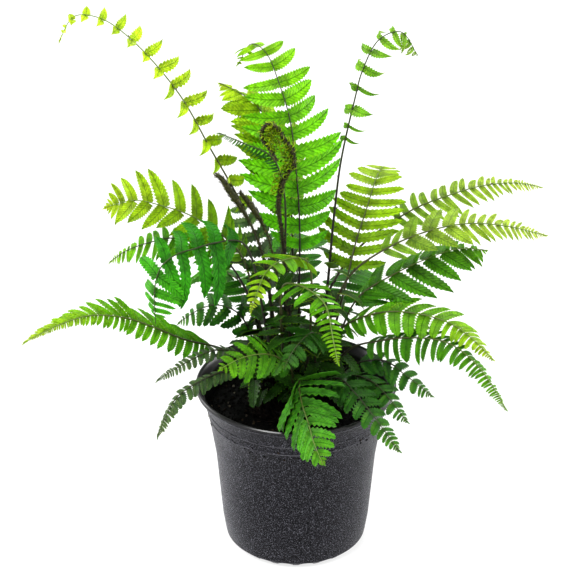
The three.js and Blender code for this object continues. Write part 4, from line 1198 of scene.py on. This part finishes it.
def blade_rows(frond, leaf, draw):
    """The one or few fine leaflets that take a plain leaflet's place."""
    near, after, side = leaf["near"], leaf["after"], leaf["across"] < 0
    ahead = after[0] - near[0]
    wane = frond["wane"][side]
    full = leaflet_length(frond, (leaf["pair"] + 0.5) / frond["pairs"]) * frond["stretch"]
    full *= 1 - wane * leaf["pair"] / frond["pairs"]
    parts = round(ahead.length * frond["fill"] / (frond["slim"] * full))
    parts = min(max(parts, 1), MOST_PARTS)
    width = min(ahead.length / parts * frond["fill"], frond["narrow"] * full)
    ahead.normalize()
    for offset in ((part + 0.5) / parts for part in range(parts)):
        along_blade = (leaf["pair"] + offset) / frond["pairs"]
        reach = leaflet_length(frond, along_blade) * leaf["shorter"] * frond["stretch"]
        reach *= frond["uneven"][side] * (1 - wane * along_blade)
        reach *= min(1, TAPER * (TAPER_END - along_blade))
        fold = frond["fold"] + leaf["bend"] + draw.uniform(*FOLD_SPREAD)
        out, up = leaflet_axes(near, leaf["across"], fold)
        lean = frond["lean"] * LEAN_SHARE + draw.uniform(*LEAN_SPREAD)
        lean += frond["splay"] * (1 - along_blade) + frond["swing"][side]
        curl = frond["curl"] + frond["coil"] * along_blade ** 2
        yield leaflet_row(
            near[0].lerp(after[0], offset), (out * TIP_OUT + ahead * lean).normalized(), up, ahead,
            reach * draw.uniform(*REACH_SPREAD) + RIB_HALF_WIDTH, width * draw.uniform(*WIDTH_SPREAD),
            along_blade, curl * draw.uniform(*CURL_SPREAD), draw.random())


# %% Leaflets inside the plant and at the tip
# one inner leaflet is tried for each step along the stipe, and stays if it is in the middle of the plant
INNER_STEP, INNER_LOW, INNER_HIGH, INNER_RADIUS = 6, 116, 200, 36
INNER_SLIM = 0.42
# the last range darkens each inner leaflet: a painted shade in the middle of the plant
INNER_LENGTHS, INNER_RISE, INNER_CURL, INNER_PAINTED_SHADE = (11, 23), (0.0, 0.7), (0.3, 1.1), (-1.0, 0.2)
TIP_LEAFLET, TIP_SLIM, TIP_BACK, TIP_CURL = 4.5, 0.3, 0.6, 0.2


def inner_rows(frond, at, length, draw):
    """Old leaflets round the bare part of a stalk, dark with age and with painted shade."""
    for _ in range(round(length * frond["bare"] / INNER_STEP)):
        share = frond["bare"] * draw.random()
        centre, along, side, up = cross_section(at, share, frond["heading"], frond["roll"])
        turn, rise = draw.uniform(0, math.tau), draw.uniform(*INNER_RISE)
        # the tone drawn here is a painted shade: it darkens the inner leaflets
        size, tint = draw.uniform(*INNER_LENGTHS), draw.uniform(*INNER_PAINTED_SHADE)
        if INNER_LOW < centre.z < INNER_HIGH and centre.xy.length < INNER_RADIUS:
            out = (side * math.cos(turn) + up * math.sin(turn) + along * rise).normalized()
            yield leaflet_row(centre, out, along, out.cross(along), size, size * INNER_SLIM, 0,
                              draw.uniform(*INNER_CURL), tint)


def frond_skeleton(frond, seed):
    draw = random.Random(seed)
    at, length = smooth_path(frond["path"])
    rows = stalk_rows(at, length, frond["bare"])
    for leaf in plain_leaflets(frond, at):
        rows.extend(blade_rows(frond, leaf, draw))
    rows.extend(inner_rows(frond, at, length, draw))
    centre, along, side, up = cross_section(at, 1, frond["heading"], frond["roll"])
    rows.append(leaflet_row(centre - along * TIP_LEAFLET * TIP_BACK, along, up, side, TIP_LEAFLET,
                            TIP_LEAFLET * TIP_SLIM, 1, TIP_CURL, draw.random()))
    return skeleton_mesh(frond["name"], rows)


# %% Growing every frond
STALK_SIDES = 10
SWEEP = 0.2
# coats of scales: scales per square metre, shortest and longest in metres, and lean from the surface
STIPE_COAT = (160000.0, 0.0014, 0.0034, 0.5)


def add_scales(piece, coat_of_scales, seed, brown):
    density, shortest, longest, lean = coat_of_scales
    add_tree(piece, grow_scales, {"Scale": scale, "Scales per square metre": density, "Shortest": shortest,
                                  "Longest": longest, "Lean": lean, "Seed": seed, "Chaff": brown})


def grow(piece, leaflet, leaf, stalk, twist, seed, coat_of_scales, brown):
    add_tree(piece, grow_frond, {
        "Leaflet": leaflet_shapes[leaflet], "Sweep": SWEEP, "Twist": twist, "Stalk sides": STALK_SIDES,
        "Seed": seed, "Leaf": leaf_materials[leaf], "Stalk": stalk_materials[stalk]})
    add_scales(piece, coat_of_scales, seed, brown)
    make_plain(piece)


for seed, frond in enumerate(FRONDS, 1):
    piece = link(frond["name"] + "_leafy", frond_skeleton(frond, seed))
    grow(piece, frond["shape"], frond["leaf"], frond["stalk"], frond["twist"], seed, STIPE_COAT, chaff)
    stands_for(piece, frond["name"], frond["slot"])

# %% [markdown]
# ## Croziers
# A young frond starts as a coil, a crozier, so that its soft leaflets are wrapped inside its tough stalk. It
# is shaggy with dark scales. The same two trees make it: its leaflets are only short and narrow, and curled
# so far that each of them rolls up. They are packed into the space inside the coil. The two youngest ones
# have no rolls to show yet: they are shaggy clubs.

# %% Crozier paths
# path: points of the stalk and its hook, in mm. stem and thick: the stalk's radius below, and from the share
# "club" on. inward: the share where the coil begins. rolls: rolled leaflets inside the hook.
CROZIERS = [
    dict(name="crozier_middle", stem=1.1, thick=1.5, club=0.66, inward=0.66, rolls=170,
         path=[(-2, -3, 99), (-5, -6, 177), (-9, -9, 225), (-11, -10, 248), (-7, -10, 264), (-2, -10, 272),
               (-3, -10, 281), (-8, -10, 289), (-12, -10, 296), (-17, -9, 298), (-21, -8, 293),
               (-20, -7, 286), (-16, -6, 280), (-12, -6, 273)]),
    dict(name="crozier_left", stem=0.7, thick=2.0, club=0.88, inward=0.93, rolls=0,
         path=[(-12, -1, 99), (-15, -2, 160), (-21, -3, 208), (-31, -3, 234), (-41, -4, 252), (-46, -4, 260),
               (-49, -5, 263)]),
    dict(name="crozier_small", stem=0.6, thick=1.7, club=0.9, inward=0.94, rolls=0,
         path=[(-6, 2, 99), (-10, 2, 170), (-17, 2, 215), (-24, 2, 232), (-31, 2, 243), (-35, 2, 248)]),
]
CROZIER_STEP = 2
CROZIER_COAT = (1300000.0, 0.0011, 0.0026, 0.6)
CROZIER_TWIST, CROZIER_RIPE = 0.12, 0.5
FIRST_SEED = 70
CLUB_RISE, COIL_TAPER = 0.1, 0.45
ROLLS_END = 0.98
ROLL_LENGTH, ROLL_WIDTH, ROLL_CURL = 9.0, 1.9, 5.4
# where a roll stands from the stalk, in mm inwards and aside, how it points, and shares of its size and curl
ROLL_INWARDS, ROLL_ASIDE = (-0.6, 5.5), (-2.4, 1.0)
POINTS_ASIDE, POINTS_ALONG = (-0.5, 0.5), (-0.8, 0.8)
LENGTH_SPREAD, THIN_SPREAD, ROLLED_SPREAD, TINT_SPREAD = (0.7, 1.15), (0.7, 1.3), (0.8, 1.2), (-1.0, 1.6)


# %% Croziers
def crozier_skeleton(crozier, seed):
    draw = random.Random(seed)
    at, length = smooth_path(crozier["path"])
    stem, club, inward = crozier["stem"], crozier["club"], crozier["inward"]
    steps = round(length / CROZIER_STEP)
    rows = []
    for share in (k / steps for k in range(steps + 1)):
        rolled = max(0, share - inward) / (1 - inward)
        swell = min(1, max(0, (share - club) / CLUB_RISE + 1))
        radius = (stem + (crozier["thick"] - stem) * swell) * (1 - COIL_TAPER * rolled)
        centre, along = at(share)
        rows.append(stalk_row(centre, radius, share * CROZIER_RIPE, 1, along))
    for k in range(crozier["rolls"]):
        share = inward + (ROLLS_END - inward) * (k + 0.5) / crozier["rolls"]
        centre, along, side, up = cross_section(at, share)
        inside = up * draw.uniform(*ROLL_INWARDS) + side * draw.uniform(*ROLL_ASIDE)
        out = up + side * draw.uniform(*POINTS_ASIDE) + along * draw.uniform(*POINTS_ALONG)
        rows.append(leaflet_row(
            centre + inside, out.normalized(), along, side, ROLL_LENGTH * draw.uniform(*LENGTH_SPREAD),
            ROLL_WIDTH * draw.uniform(*THIN_SPREAD), draw.uniform(0.0, 1.0),
            ROLL_CURL * draw.uniform(*ROLLED_SPREAD), draw.uniform(*TINT_SPREAD)))
    return skeleton_mesh(crozier["name"], rows)


for seed, crozier in enumerate(CROZIERS, FIRST_SEED):
    piece = link(crozier["name"] + "_shaggy", crozier_skeleton(crozier, seed))
    grow(piece, "lance", "yellowing", "olive", CROZIER_TWIST, seed, CROZIER_COAT, young_chaff)
    stands_for(piece, crozier["name"], "crozier")

# %% [markdown]
# ## The crown
# All stalks rise from one short rhizome at soil level, wrapped in old scales and the stubs of dead stalks. A
# low dome with a rough surface is enough, because the scales hide it: it goes through the tree of scales
# alone.

# %% The crown
# (radius, height) in mm, from the middle of the underside to the middle of the top
CROWN_PROFILE = [(0, 86), (17.5, 86), (25, 90), (27.5, 96), (27.2, 101), (25, 105.5), (20, 108), (12, 109.2),
                 (0, 109.8)]
CROWN_SPOKES = 56
DENTS, DENTS_ROUND, DENTS_PER_MM = 0.10, 3, 0.2
KNOBS, KNOBS_PER_MM, KNOBS_SLICE = 1.5, 0.3, 40
KNOBBLY_FROM, SCALY_FROM = 100, 95
CROWN_COAT = (450000.0, 0.004, 0.009, 0.5)
CROWN_SEED = 90
SPLAY = 12


def crown_place(angle, r, z):
    """The radius and height of a point of the crown, in mm: dented all round and knobbly on top."""
    x, y = math.cos(angle), math.sin(angle)
    dent = noise.noise(Vector((DENTS_ROUND * x, DENTS_ROUND * y, z * DENTS_PER_MM)))
    knob = noise.noise(Vector((r * x, r * y, KNOBS_SLICE)) * KNOBS_PER_MM) if z > KNOBBLY_FROM else 0
    return r * (1 + DENTS * dent), z + KNOBS * knob


def crown_mesh():
    body = bmesh.new()
    rings = [add_ring(body, CROWN_SPOKES, r, lambda angle: crown_place(angle, r, z))
             for r, z in CROWN_PROFILE]
    join_rings(body, rings, CROWN_SPOKES)
    mesh = finished_mesh(body, "crown")
    add_attribute(mesh, "along", "FLOAT_VECTOR",
                  [(v.co.x * SPLAY, v.co.y * SPLAY, 1.0) for v in mesh.vertices])
    add_attribute(mesh, "scaly", "FLOAT", [float(v.co.z > SCALY_FROM * MM) for v in mesh.vertices])
    mesh.materials.append(chaff)
    return mesh


crown = link("rhizome_crown", crown_mesh())
add_scales(crown, CROWN_COAT, CROWN_SEED, chaff)
make_plain(crown)
stands_for(crown, "crown", "crown")

# %% Clear away the shapes that were only copied
for helper in (crumb_shape, scale, *leaflet_shapes.values()):
    bpy.data.objects.remove(helper)

# %% [markdown]
# ## Studio
# A small plant is often photographed on an opal light table under large soft lights. The table shines a
# little itself, so it turns plain white, lights the leaves from below and shows the drain notches at the
# pot's foot. A look with more contrast gives the print its deep shadows.

# %% Floor and lights
FLOOR_HALF = 14.0
AIM = Vector((0, 0, 0.18))
LIGHTS = {
    # name: place and size in metres, and power in watts
    "key_softbox": ((-0.8, -1.0, 1.8), 0.7, 30),
    "fill_softbox": ((1.3, -0.7, 1.0), 1.0, 7),
    "rim_softbox": ((0.3, 1.3, 1.3), 0.9, 12),
    "left_strip": ((-1.3, 0.45, 0.35), 0.8, 12),
    "right_strip": ((1.3, 0.45, 0.35), 0.8, 12),
}

floor_mesh = bpy.data.meshes.new("studio_floor")
corners = [(x * FLOOR_HALF, y * FLOOR_HALF, 0) for x, y in ((-1, -1), (1, -1), (1, 1), (-1, 1))]
floor_mesh.from_pydata(corners, [], [(0, 1, 2, 3)])
floor = link("studio_floor", floor_mesh)
opal, opal_tree, opal_shader = new_material("opal_light_table")
set_sockets(opal_tree, opal_shader, {
    "Base Color": to_linear("#9a9a9a"), "Emission Color": to_linear("#ffffff"), "Emission Strength": 0.62,
    "Roughness": 0.9, "Specular IOR Level": 0.1})
floor_mesh.materials.append(opal)

world = bpy.data.worlds.new("studio_white")
world.use_nodes = True
set_sockets(world.node_tree, world.node_tree.nodes["Background"],
            {"Color": to_linear("#ffffff"), "Strength": 0.45})
bpy.context.scene.world = world

for name, (place, size, power) in LIGHTS.items():
    data = bpy.data.lights.new(name, "AREA")
    data.size = size
    data.energy = power
    lamp = bpy.data.objects.new(name, data)
    lamp.location = place
    lamp.rotation_euler = (AIM - Vector(place)).to_track_quat("-Z", "Y").to_euler()
    bpy.context.scene.collection.objects.link(lamp)
bpy.context.scene.view_settings.view_transform = "Standard"
bpy.context.scene.view_settings.look = "Medium High Contrast"
